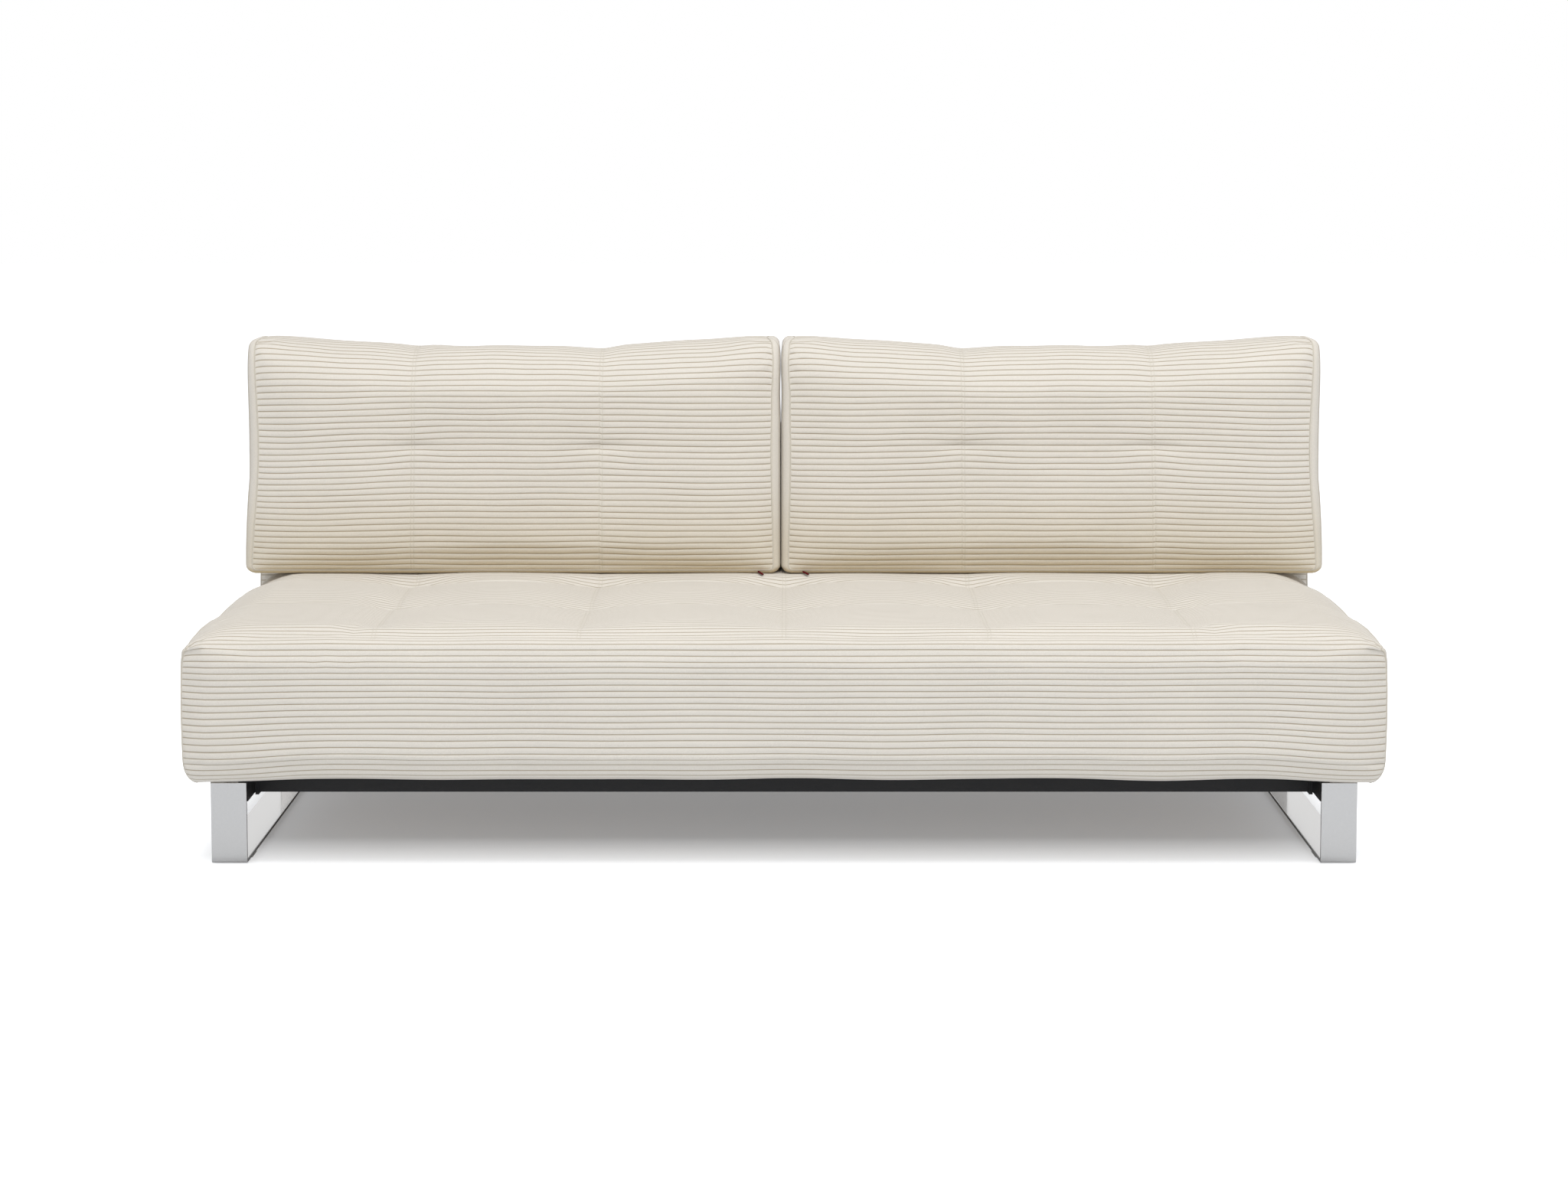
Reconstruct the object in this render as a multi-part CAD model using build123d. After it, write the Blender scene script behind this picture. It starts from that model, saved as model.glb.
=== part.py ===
from build123d import *
from math import cos, radians, sin, sqrt, tan
import os

# Sofa bed: a tufted seat mattress on slats and two sled legs, a tufted back that folds flat on a
# hinge at each side, a rear leg that links keep upright, and two loose back cushions.
# Millimetres. +X is the sitter's left, -Y the front, +Z up. While the parts
# are built, Y runs from the front of the seat and Z from the floor.

# Seat mattress
SEAT_WIDTH = 2000.0
SEAT_DEPTH = 990.0
SEAT_BOTTOM = 148.0
SEAT_TOP = 404.0
SEAT_UPPER_ROLL = 45.0
SEAT_LOWER_ROLL = 28.0
SEAT_FRONT_BULGE = 6.0
SEAT_END_ROLL = 40.0
SEAM_SHARE = 0.17
ROW_FIRST = 68.0
ROW_PITCH = 340.0
TUFT_DROP = 22.0
CREASE_DROP = 12.0
SEAM_RISE = 5.0
SEAT_WALL = 60.0
SEAT_CEILING = 64.0
LINING_THICKNESS = 3.0
BASE_FOAM = 20.0
TOP_FOAM = 35.0
SPRING_DIAMETER = 150.0
SPRING_GAP = 6.0
SOFT_CLEARANCE = 0.4

# Sled legs, rails and slats
SLED_INSET = 69.0
SLED_FRONT = 75.0
SLED_LENGTH = 880.0
SLED_TOP = 140.0
BAR_WIDTH = 60.0
BAR_THICKNESS = 6.0
BAR_EDGE_RADIUS = 0.8
CORNER_RADIUS = 3.0
WELD_RADIUS = 1.5
GLIDE_HEIGHT = 2.0
GLIDE_LENGTH = 50.0
GLIDE_INSET = 60.0
RAIL_SIZE = 30.0
TUBE_WALL = 2.0
RAIL_INSET = 110.0
RAIL_END_GAP = 10.0
PLUG_DEPTH = 12.0
BRACKET_LEG = 50.0
BRACKET_THICKNESS = 6.0
BRACKET_LIP = 4.0
BRACKET_BOLT_REACH = 32.5
SLAT_COUNT = 16
SLAT_END_INSET = 61.0
SLAT_WIDTH = 63.0
SLAT_THICKNESS = 8.0
SLAT_EDGE_RADIUS = 3.0
SLAT_OVERHANG = 70.0
SLAT_CLEARANCE = 0.3
HOLDER_LENGTH = 40.0
HOLDER_WALL = 4.0

# Back mattress and its frame, measured from the fold pivot while the back stands upright
LEAN = 10.0
PIVOT_BEHIND_SEAT = 140.0
PIVOT_BELOW_FRONT = 115.0
SWEEP_CLEARANCE = 3.0
BACK_RISE = 370.0
BACK_PAD = 90.0
BACK_TUFT_RISE = 140.0
BACK_TUFT_DROP = 14.0
BACK_CREASE_DROP = 8.0
BACK_SEAM_RISE = 2.0
BACK_TOP_ROLL = 32.0
BACK_END_ROLL = 30.0
BACK_WALL = 30.0
BACK_CEILING = 34.0
BACK_TUBE = 25.0
BACK_FRAME_LOW = -120.0
BACK_FRAME_HIGH = 350.0
BACK_UPRIGHT_SLAT = 2.5
BACK_SLAT_COUNT = 14
BACK_SLAT_INSET = 127.0

# Fold hinge, rear leg and links
PLATE = 6.0
PLATE_BOSS = 20.0
PLATE_NECK = 4.0
BACK_PLATE_TOP = 140.0
BACK_PLATE_BOLTS = (60.0, 120.0)
PIN_RADIUS = 6.0
PIN_HEAD_FACTOR = 1.6
PIN_CLEARANCE = 0.05
DRUM_RADIUS = 18.0
DRUM_CLEARANCE = 0.3
HINGE_PLATE_GAP = 13.0
LEG_PIVOT_RISE = 290.0
LEG_PIVOT_BEHIND = 34.0
LEG_TUBE = 25.0
LEG_TOP = 12.5
LEG_SIDE_CLEARANCE = 0.3
LEG_FLOOR_CLEARANCE = 1.0
FOOT_HEIGHT = 12.0
CROSSBAR_HEIGHT = 45.0
LINK_BEHIND = 20.0
LINK_BELOW = 40.0
LINK_WIDTH = 16.0
LINK_EYE_CLEARANCE = 0.3
LINK_PIN_RADIUS = 4.0
SIDE_PLAY = 1.0

# Loose back cushions
CUSHION_HEIGHT = 442.0
CUSHION_DEPTH = 215.0
CUSHION_GAP = 6.0
CUSHION_END_INSET = 3.0
CUSHION_BEHIND = 2.0
CUSHION_CROWN = 14.0
CUSHION_SEAM_DROP = 4.0
CUSHION_TUFT_DROP = 10.0
CUSHION_DRAW_IN = 9.0
CUSHION_SIDE_BOW = 3.6
CUSHION_ROLL = 26.0
CUSHION_WALL = 7.0
CUSHION_STEPS = (0.0, 0.035, 0.13, 0.32, 0.5, 0.68, 0.87, 0.965, 1.0)
ZIP_TAB_WIDTH = 6.0
ZIP_TAB_LENGTH = 5.5
ZIP_TAB_THICKNESS = 1.2
ZIP_TAB_FROM_MIDDLE = 42.0

# Fasteners
BOLT_RADIUS = 4.0
BOLT_HEAD_RADIUS = 7.0
BOLT_HEAD_HEIGHT = 3.0
BOLT_LENGTH = 16.0

# Shaping of the soft pieces: turns of a rolled end in degrees, and the bow of a quarter circle
ROLL_TURNS = (0, 35, 65, 90)
QUARTER_BOW = 1 - sqrt(0.5)

# Worked out from the above
SEAT_HALF = SEAT_WIDTH / 2
SEAM_PITCH = SEAM_SHARE * SEAT_WIDTH
SEAMS = [-2 * SEAM_PITCH, -SEAM_PITCH, 0.0, SEAM_PITCH, 2 * SEAM_PITCH]
ROWS = [ROW_FIRST + i * ROW_PITCH for i in range(3)]
SLED_X = SEAT_HALF - SLED_INSET
RAIL_INNER_X = SLED_X - BAR_WIDTH / 2
RAIL_TOP = SLED_TOP - BAR_THICKNESS
RAIL_BOTTOM = RAIL_TOP - RAIL_SIZE
SLED_REAR = SLED_FRONT + SLED_LENGTH
FRONT_RAIL_Y = SLED_FRONT + RAIL_INSET + RAIL_SIZE / 2
REAR_RAIL_Y = SLED_REAR - RAIL_INSET - RAIL_SIZE / 2
SLAT_PITCH = 2 * (RAIL_INNER_X - SLAT_END_INSET) / (SLAT_COUNT - 1)
HINGE_PLATE_START = REAR_RAIL_Y + RAIL_SIZE / 2 + HINGE_PLATE_GAP
SLAT_TOP = SEAT_BOTTOM - SLAT_CLEARANCE
PIVOT_Y = SEAT_DEPTH + PIVOT_BEHIND_SEAT
PIVOT_Z = SEAT_TOP - PIVOT_BELOW_FRONT
BACK_WIDTH = SEAT_WIDTH
BACK_HALF = BACK_WIDTH / 2
BACK_FRAME_HALF = RAIL_INNER_X - 3 * PLATE - 2 * SIDE_PLAY
BACK_SLAT_PITCH = 2 * (BACK_FRAME_HALF - BACK_SLAT_INSET) / (BACK_SLAT_COUNT - 1)
BACK_UPRIGHT_X = BACK_UPRIGHT_SLAT * BACK_SLAT_PITCH
BACK_SWEEP = PIVOT_BEHIND_SEAT - SWEEP_CLEARANCE
PAD_REAR = -(PIVOT_BELOW_FRONT - BACK_PAD)
HOLDER_HEIGHT = SLAT_TOP - RAIL_TOP
TUBE_FRONT = PAD_REAR + HOLDER_HEIGHT + SLAT_CLEARANCE
TUBE_REAR = TUBE_FRONT + BACK_TUBE
SEAT_PLATE_X = RAIL_INNER_X - PLATE
BACK_PLATE_X = BACK_FRAME_HALF + PLATE
LINK_X = BACK_PLATE_X + SIDE_PLAY
BACK_PLACE = Pos(0, PIVOT_Y, PIVOT_Z) * Rot(-LEAN, 0, 0)
LEG_PIVOT = BACK_PLACE * Pos(0, LEG_PIVOT_BEHIND, LEG_PIVOT_RISE)
LEG_Y = LEG_PIVOT.position.Y
LEG_Z = LEG_PIVOT.position.Z
LEG_LENGTH = PIVOT_Z - LEG_PIVOT_BEHIND - LEG_FLOOR_CLEARANCE
CUSHION_BOTTOM = SEAT_TOP + SOFT_CLEARANCE
CUSHION_END = SEAT_HALF - CUSHION_END_INSET


def box_between(low, high):
    """Block from its lowest to its highest corner."""
    size = [b - a for a, b in zip(low, high)]
    middle = [(a + b) / 2 for a, b in zip(low, high)]
    return Pos(*middle) * Box(*size)


def both_sides(part):
    """The part at +X and its mirror image at -X."""
    return [part, mirror(part, about=Plane.YZ)]


def outline(plane, corners, rises):
    """Face through the corners; each side bows out by its rise, and is straight where that is 0."""
    sides = []
    for start, end, rise in zip(corners, corners[1:] + corners[:1], rises):
        sides.append(SagittaArc(start, end, rise) if rise else Line(start, end))
    return plane * make_face(sides)


def across(x):
    """Plane square to X, drawn on in Y and Z."""
    return Plane(origin=(x, 0, 0), x_dir=(0, 1, 0), z_dir=(1, 0, 0))


def square_tube(start, end, size):
    """Hollow square tube between two points on its centre line."""
    path = Vector(*end) - Vector(*start)
    side = (0, 0, 1) if abs(path.Z) < abs(path.X) + abs(path.Y) else (1, 0, 0)
    section = Plane(origin=start, x_dir=side, z_dir=path)
    inner = size - 2 * TUBE_WALL
    return extrude(section * (Rectangle(size, size) - Rectangle(inner, inner)), path.length)


def bolt(seat, direction):
    """Cap-head bolt whose head sits at a point and whose shank runs along a direction."""
    place = Plane(origin=seat, z_dir=direction)
    head = extrude(place * Circle(BOLT_HEAD_RADIUS), -BOLT_HEAD_HEIGHT)
    shank = extrude(place * Circle(BOLT_RADIUS), BOLT_LENGTH)
    return head + shank


def bolt_hole(seat, direction):
    """What a bolt takes out of the pieces that it passes through."""
    place = Plane(origin=seat, z_dir=direction)
    return extrude(place * Circle(BOLT_RADIUS + PIN_CLEARANCE), BOLT_LENGTH + PIN_CLEARANCE)


def side_pin(x_low, x_high, y, z, radius):
    """Round pin along X."""
    return extrude(Plane(origin=(x_low, y, z), z_dir=(1, 0, 0)) * Circle(radius), x_high - x_low)


def headed_pin(foot, shoulder, y, z, radius):
    """Round pin along X from its foot to its shoulder, with a head beyond the shoulder."""
    beyond = shoulder + BOLT_HEAD_HEIGHT if shoulder > foot else shoulder - BOLT_HEAD_HEIGHT
    return side_pin(foot, shoulder, y, z, radius) + side_pin(shoulder, beyond, y, z, PIN_HEAD_FACTOR * radius)


def roll_in(roll, from_end):
    """How far a rounded edge has drawn in at a distance from its end."""
    return roll - sqrt(roll**2 - max(roll - from_end, 0) ** 2)


def tufted_columns(half_width, end_roll, section):
    """Pad of sewn columns: one crowned loft from seam to seam, with rolled ends."""
    edge = half_width - end_roll
    spans = list(zip(SEAMS, SEAMS[1:]))
    columns = [seam_to_seam(section, low, high) for low, high in spans]
    columns += both_sides(seam_to_seam(section, SEAMS[-1], edge))
    turns = [radians(angle) for angle in ROLL_TURNS]
    roll = loft([section(edge + end_roll * sin(turn), True, end_roll * (1 - cos(turn))) for turn in turns])
    columns += both_sides(roll)
    return columns[0].fuse(*columns[1:])


def seam_to_seam(section, low, high):
    """One sewn column, crowned half-way between its seams."""
    return loft([section(low, True), section((low + high) / 2, False), section(high, True)])


def seat_section(x, at_seam, shrink=0.0):
    """Section of the seat mattress square to X."""
    drop = TUFT_DROP if at_seam else CREASE_DROP
    rise = SEAM_RISE if at_seam else CREASE_DROP
    front = shrink
    rear = SEAT_DEPTH - shrink
    low = SEAT_BOTTOM + shrink / 2
    top = SEAT_TOP - shrink
    face = front + SEAT_FRONT_BULGE
    upper = top - SEAT_UPPER_ROLL
    corners = [
        (rear - SEAT_LOWER_ROLL, low),
        (front + SEAT_LOWER_ROLL, low),
        (face, low + SEAT_LOWER_ROLL),
        (face, upper),
        (ROWS[0] + shrink / 2, top - drop),
        (ROWS[1], top - drop),
        (ROWS[2], top - drop),
        (rear - SEAT_UPPER_ROLL, top - CREASE_DROP),
        (rear, upper - CREASE_DROP),
        (rear, low + SEAT_LOWER_ROLL),
    ]
    lower_bow = SEAT_LOWER_ROLL * QUARTER_BOW
    upper_bow = SEAT_UPPER_ROLL * QUARTER_BOW
    rises = [0, lower_bow, SEAT_FRONT_BULGE, upper_bow, rise, rise, rise, upper_bow, 0, lower_bow]
    return outline(across(x), corners, rises)


def seat_mattress():
    """Cover with its pocket, and the lining, foams and springs that fill the pocket."""
    half_x = SEAT_HALF - SEAT_WALL
    ceiling = SEAT_TOP - SEAT_CEILING
    pocket = box_between((-half_x, SEAT_WALL, 0), (half_x, SEAT_DEPTH - SEAT_WALL, ceiling))
    cover = tufted_columns(SEAT_HALF, SEAT_END_ROLL, seat_section) - pocket
    low = (-half_x + SOFT_CLEARANCE, SEAT_WALL + SOFT_CLEARANCE)
    high = (half_x - SOFT_CLEARANCE, SEAT_DEPTH - SEAT_WALL - SOFT_CLEARANCE)
    lining_top = SEAT_BOTTOM + LINING_THICKNESS
    foam_top = lining_top + BASE_FOAM
    top_foam_low = ceiling - SOFT_CLEARANCE - TOP_FOAM
    pitch = SPRING_DIAMETER + SPRING_GAP
    count_x = int((high[0] - low[0]) // pitch)
    count_y = int((high[1] - low[1]) // pitch)
    height = top_foam_low - foam_top
    middle = Pos(0, SEAT_DEPTH / 2, foam_top + height / 2)
    springs = [middle * place * Cylinder(SPRING_DIAMETER / 2, height)
               for place in GridLocations(pitch, pitch, count_x, count_y)]
    return {
        "seat_cover": cover,
        "seat_lining": box_between((*low, SEAT_BOTTOM), (*high, lining_top)),
        "seat_base_foam": box_between((*low, lining_top), (*high, foam_top)),
        "seat_pocket_springs": group(springs),
        "seat_top_foam": box_between((*low, top_foam_low), (*high, ceiling - SOFT_CLEARANCE)),
    }


def sled_loop():
    """Flat bar with rounded edges, mitred and welded into a closed loop that lies front to back."""
    height = SLED_TOP - GLIDE_HEIGHT
    outer = RectangleRounded(SLED_LENGTH, height, CORNER_RADIUS)
    inner = RectangleRounded(SLED_LENGTH - 2 * BAR_THICKNESS, height - 2 * BAR_THICKNESS, WELD_RADIUS)
    middle = (SLED_FRONT + SLED_REAR) / 2
    ring = across(SLED_X) * Pos(middle, GLIDE_HEIGHT + height / 2) * (outer - inner)
    bar = extrude(ring, BAR_WIDTH / 2, both=True)
    return fillet(bar.faces().filter_by(Axis.X).edges(), BAR_EDGE_RADIUS)


def base_frame():
    """Sled legs, rails, brackets, glides and the bolts that hold them."""
    middle_y = (SLED_FRONT + SLED_REAR) / 2
    rail_z = RAIL_TOP - RAIL_SIZE / 2
    sled_bolts = [((SLED_X, y, SLED_TOP), (0, 0, -1)) for y in (FRONT_RAIL_Y, middle_y, REAR_RAIL_Y)]
    plate_bolts = [((SEAT_PLATE_X, y, rail_z), (1, 0, 0)) for y in plate_bolt_places()]
    bracket_bolts = []
    brackets = []
    for rail_y, side in ((FRONT_RAIL_Y, 1), (REAR_RAIL_Y, -1)):
        face = rail_y + side * RAIL_SIZE / 2
        far = face + side * BRACKET_LEG
        near = face - side * (RAIL_SIZE + BRACKET_LIP)
        on_side_rail = box_between(
            (RAIL_INNER_X - BRACKET_THICKNESS, min(near, far), RAIL_BOTTOM - BRACKET_LIP),
            (RAIL_INNER_X, max(near, far), RAIL_TOP),
        )
        thick = face + side * BRACKET_THICKNESS
        on_rail = box_between(
            (RAIL_INNER_X - BRACKET_LEG, min(face, thick), RAIL_BOTTOM),
            (RAIL_INNER_X, max(face, thick), RAIL_TOP),
        )
        brackets.append(on_side_rail + on_rail)
        inner_x = RAIL_INNER_X - BRACKET_THICKNESS
        bracket_bolts.append(((inner_x, face + side * BRACKET_BOLT_REACH, rail_z), (1, 0, 0)))
        bracket_bolts.append(((RAIL_INNER_X - BRACKET_BOLT_REACH, thick, rail_z), (0, -side, 0)))
    holes = [bolt_hole(*place) for place in sled_bolts + plate_bolts + bracket_bolts]

    side_start = SLED_FRONT + BAR_THICKNESS + RAIL_END_GAP
    side_end = SLED_REAR - BAR_THICKNESS - RAIL_END_GAP
    side_section = Rectangle(BAR_WIDTH, RAIL_SIZE)
    side_bore = Rectangle(BAR_WIDTH - 2 * TUBE_WALL, RAIL_SIZE - 2 * TUBE_WALL)
    side_plane = Plane(origin=(SLED_X, side_start, rail_z), x_dir=(1, 0, 0), z_dir=(0, 1, 0))
    side_length = side_end - side_start
    side_rail = extrude(side_plane * (side_section - side_bore), side_length)
    plug = extrude(side_plane * side_bore, PLUG_DEPTH)
    plugs = [plug, Pos(0, side_length - PLUG_DEPTH, 0) * plug]

    glide = box_between(
        (SLED_X - BAR_WIDTH / 2, SLED_FRONT + GLIDE_INSET, 0),
        (SLED_X + BAR_WIDTH / 2, SLED_FRONT + GLIDE_INSET + GLIDE_LENGTH, GLIDE_HEIGHT),
    )
    glides = [glide, Pos(0, SLED_LENGTH - 2 * GLIDE_INSET - GLIDE_LENGTH, 0) * glide]

    def cross_rail(y):
        end = RAIL_INNER_X - BRACKET_THICKNESS
        rail = square_tube((-end, y, rail_z), (end, y, rail_z), RAIL_SIZE)
        return rail - holes - [mirror(hole, about=Plane.YZ) for hole in holes]

    sled = sled_loop() - holes
    side_rail = side_rail - holes
    brackets = [bracket - holes for bracket in brackets]
    beam_ends = (FRONT_RAIL_Y + RAIL_SIZE / 2, REAR_RAIL_Y - RAIL_SIZE / 2)
    return {
        "sled_left": sled,
        "sled_right": mirror(sled, about=Plane.YZ),
        "side_rail_left": side_rail,
        "side_rail_right": mirror(side_rail, about=Plane.YZ),
        "side_rail_plugs": on_both_sides(plugs),
        "front_rail": cross_rail(FRONT_RAIL_Y),
        "rear_rail": cross_rail(REAR_RAIL_Y),
        "centre_beam": square_tube((0, beam_ends[0], rail_z), (0, beam_ends[1], rail_z), RAIL_SIZE),
        "rail_brackets": on_both_sides(brackets),
        "glides": on_both_sides(glides),
        "sled_bolts": on_both_sides([bolt(*place) for place in sled_bolts]),
        "bracket_bolts": on_both_sides([bolt(*place) for place in bracket_bolts]),
        "hinge_plate_bolts": on_both_sides([bolt(*place) for place in plate_bolts]),
    }


def group(parts):
    """Several separate solids as one node."""
    return Compound([solid for part in parts for solid in part.solids()])


def on_both_sides(parts):
    """One group of the parts at +X and their mirror images."""
    return group([copy for part in parts for copy in both_sides(part)])


def plate_bolt_places():
    """Y of the two bolts that hold each hinge plate on its side rail."""
    edge = BOLT_HEAD_RADIUS + PLATE
    plug_start = SLED_REAR - BAR_THICKNESS - RAIL_END_GAP - PLUG_DEPTH
    return (HINGE_PLATE_START + edge, plug_start - edge)


def slat_set(count, pitch, low, high, holders_at):
    """Slats lying along Y with their tops at Z = 0, and U-shaped holders under them."""
    width = Rectangle(SLAT_WIDTH, SLAT_THICKNESS)
    profile = fillet(width.vertices(), SLAT_EDGE_RADIUS)
    front = Plane(origin=(0, low, -SLAT_THICKNESS / 2), x_dir=(1, 0, 0), z_dir=(0, 1, 0))
    slat = extrude(front * profile, high - low)
    inner = SLAT_WIDTH + 2 * SLAT_CLEARANCE
    outer = inner + 2 * HOLDER_WALL
    block = box_between((-outer / 2, -HOLDER_LENGTH / 2, -HOLDER_HEIGHT), (outer / 2, HOLDER_LENGTH / 2, 0))
    trough = Box(inner, 2 * HOLDER_LENGTH, 2 * SLAT_THICKNESS)
    holder = block - trough
    slats = []
    holders = []
    for i in range(count):
        x = (i - (count - 1) / 2) * pitch
        slats.append(Pos(x, 0, 0) * slat)
        holders += [Pos(x, y, 0) * holder for y in holders_at]
    return group(slats), group(holders)


def seat_slats():
    """Front-to-back slats on the two cross rails."""
    low = FRONT_RAIL_Y - RAIL_SIZE / 2 - SLAT_OVERHANG
    high = REAR_RAIL_Y + RAIL_SIZE / 2 + SLAT_OVERHANG
    slats, holders = slat_set(SLAT_COUNT, SLAT_PITCH, low, high, (FRONT_RAIL_Y, REAR_RAIL_Y))
    lift = Pos(0, 0, SLAT_TOP)
    return {"seat_slats": lift * slats, "seat_slat_holders": lift * holders}


def back_section(x, at_seam, shrink=0.0):
    """Section of the back mattress square to X; its lower end is round about the pivot."""
    drop = BACK_TUFT_DROP if at_seam else BACK_CREASE_DROP
    rise = BACK_SEAM_RISE if at_seam else BACK_CREASE_DROP
    front = PIVOT_BELOW_FRONT - drop - shrink
    rear = -PAD_REAR
    radius = BACK_SWEEP - shrink
    top = BACK_RISE - shrink
    low_rear = -sqrt(radius**2 - rear**2)
    low_front = -sqrt(radius**2 - front**2)
    corners = [
        (-rear, low_rear),
        (-front, low_front),
        (-front, BACK_TUFT_RISE),
        (-front, top - BACK_TOP_ROLL),
        (-front + BACK_TOP_ROLL, top),
        (-rear, top),
    ]
    chord = sqrt((front - rear) ** 2 + (low_rear - low_front) ** 2)
    lower_bow = radius - sqrt(radius**2 - (chord / 2) ** 2)
    rises = [lower_bow, rise, rise, BACK_TOP_ROLL * QUARTER_BOW, 0, 0]
    return outline(across(x), corners, rises)


def back_pad():
    """Back mattress: cover, foam and lining, leaning with the back."""
    half_x = BACK_HALF - BACK_WALL
    low = BACK_FRAME_LOW + BACK_WALL
    high = BACK_RISE - BACK_WALL
    front = -PIVOT_BELOW_FRONT + BACK_CEILING
    pocket = box_between((-half_x, front, low), (half_x, 0, high))
    gap = SOFT_CLEARANCE
    lining_front = PAD_REAR - LINING_THICKNESS
    foam = box_between((-half_x + gap, front + gap, low + gap), (half_x - gap, lining_front, high - gap))
    lining = box_between((-half_x + gap, lining_front, low + gap), (half_x - gap, PAD_REAR, high - gap))
    cover = tufted_columns(BACK_HALF, BACK_END_ROLL, back_section) - pocket
    return {"back_cover": cover, "back_foam": foam, "back_lining": lining}


def back_frame():
    """Tube frame, slats, hinge plates and rear-leg lugs of the back, upright about the pivot."""
    n = (TUBE_FRONT + TUBE_REAR) / 2
    half = BACK_TUBE / 2
    inner_low = BACK_FRAME_LOW + BACK_TUBE
    inner_high = BACK_FRAME_HIGH - BACK_TUBE
    pin_hole = side_pin(0, SEAT_HALF, 0, 0, PIN_RADIUS + PIN_CLEARANCE)
    side_x = BACK_FRAME_HALF - half
    plate_bolts = [((BACK_PLATE_X, n, rise), (-1, 0, 0)) for rise in BACK_PLATE_BOLTS]
    holes = [bolt_hole(*place) for place in plate_bolts]

    def upright(x):
        return square_tube((x, n, inner_low), (x, n, inner_high), BACK_TUBE)

    def crossbar(rise):
        return square_tube((-BACK_FRAME_HALF, n, rise), (BACK_FRAME_HALF, n, rise), BACK_TUBE)

    side_tube = upright(side_x) - pin_hole - holes
    strap = Pos(n, BACK_PLATE_TOP / 2) * Rectangle(BACK_TUBE, BACK_PLATE_TOP)
    plate = extrude(across(BACK_FRAME_HALF) * (Circle(PLATE_BOSS) + strap), PLATE) - pin_hole - holes
    lug_reach = LEG_PIVOT_BEHIND - TUBE_FRONT
    lug_strap = Pos(TUBE_FRONT + lug_reach / 2, LEG_PIVOT_RISE) * Rectangle(lug_reach, BACK_TUBE)
    lug_eye = Pos(LEG_PIVOT_BEHIND, LEG_PIVOT_RISE) * Circle(BACK_TUBE / 2)
    leg_pin_hole = side_pin(0, SEAT_HALF, LEG_PIVOT_BEHIND, LEG_PIVOT_RISE, PIN_RADIUS + PIN_CLEARANCE)
    lug = extrude(across(BACK_FRAME_HALF) * (lug_strap + lug_eye), PLATE) - leg_pin_hole
    slats, holders = slat_set(
        BACK_SLAT_COUNT, BACK_SLAT_PITCH, BACK_FRAME_LOW, BACK_FRAME_HIGH,
        (BACK_FRAME_LOW + half, BACK_FRAME_HIGH - half),
    )
    stand_up = Pos(0, PAD_REAR + SLAT_CLEARANCE, 0) * Rot(90, 0, 0)
    return {
        "back_tube_left": side_tube,
        "back_tube_right": mirror(side_tube, about=Plane.YZ),
        "back_tube_top": crossbar(BACK_FRAME_HIGH - half),
        "back_tube_bottom": crossbar(BACK_FRAME_LOW + half),
        "back_uprights": on_both_sides([upright(BACK_UPRIGHT_X)]),
        "back_slats": stand_up * slats,
        "back_slat_holders": stand_up * holders,
        "back_hinge_plate_left": plate,
        "back_hinge_plate_right": mirror(plate, about=Plane.YZ),
        "back_plate_bolts": on_both_sides([bolt(*place) for place in plate_bolts]),
        "rear_leg_lugs": on_both_sides([lug]),
    }


def fold_hinge():
    """Hinge plates on the base, ratchet drums, fold pins and the links' lower pins."""
    link_y = PIVOT_Y + LINK_BEHIND
    link_z = PIVOT_Z - LINK_BELOW
    rail_z = RAIL_TOP - RAIL_SIZE / 2
    arm_end = link_y + LINK_WIDTH - PLATE_NECK
    post_width = arm_end - (PIVOT_Y - PLATE_BOSS + PLATE_NECK)
    arm = Pos((HINGE_PLATE_START + arm_end) / 2, rail_z) * Rectangle(arm_end - HINGE_PLATE_START, RAIL_SIZE)
    post_height = link_z - RAIL_BOTTOM
    post = Pos(arm_end - post_width / 2, RAIL_BOTTOM + post_height / 2) * Rectangle(post_width, post_height)
    head = make_hull([
        *(Pos(PIVOT_Y, PIVOT_Z) * Circle(PLATE_BOSS)).edges(),
        *(Pos(link_y, link_z) * Circle(LINK_WIDTH)).edges(),
        *(Pos(PIVOT_Y, link_z) * Circle(PLATE_BOSS)).edges(),
    ])
    pin_end = BACK_FRAME_HALF - TUBE_WALL
    plate_outer = RAIL_INNER_X
    plate = extrude(across(SEAT_PLATE_X) * (arm + post + head), PLATE)
    plate = plate - side_pin(0, SEAT_HALF, PIVOT_Y, PIVOT_Z, PIN_RADIUS + PIN_CLEARANCE)
    plate = plate - side_pin(0, SEAT_HALF, link_y, link_z, LINK_PIN_RADIUS + PIN_CLEARANCE)
    plate = plate - [
        bolt_hole((SEAT_PLATE_X, y, rail_z), (1, 0, 0)) for y in plate_bolt_places()
    ]
    drum = side_pin(BACK_PLATE_X + DRUM_CLEARANCE, SEAT_PLATE_X, PIVOT_Y, PIVOT_Z, DRUM_RADIUS)
    drum = drum - side_pin(0, SEAT_HALF, PIVOT_Y, PIVOT_Z, PIN_RADIUS + PIN_CLEARANCE)
    pin = headed_pin(pin_end, plate_outer, PIVOT_Y, PIVOT_Z, PIN_RADIUS)
    link_head = LINK_X - DRUM_CLEARANCE
    link_pin = headed_pin(plate_outer, link_head, link_y, link_z, LINK_PIN_RADIUS)
    return {
        "hinge_plate_left": plate,
        "hinge_plate_right": mirror(plate, about=Plane.YZ),
        "ratchet_drums": on_both_sides([drum]),
        "hinge_pins": on_both_sides([pin]),
        "link_lower_pins": on_both_sides([link_pin]),
    }


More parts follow.
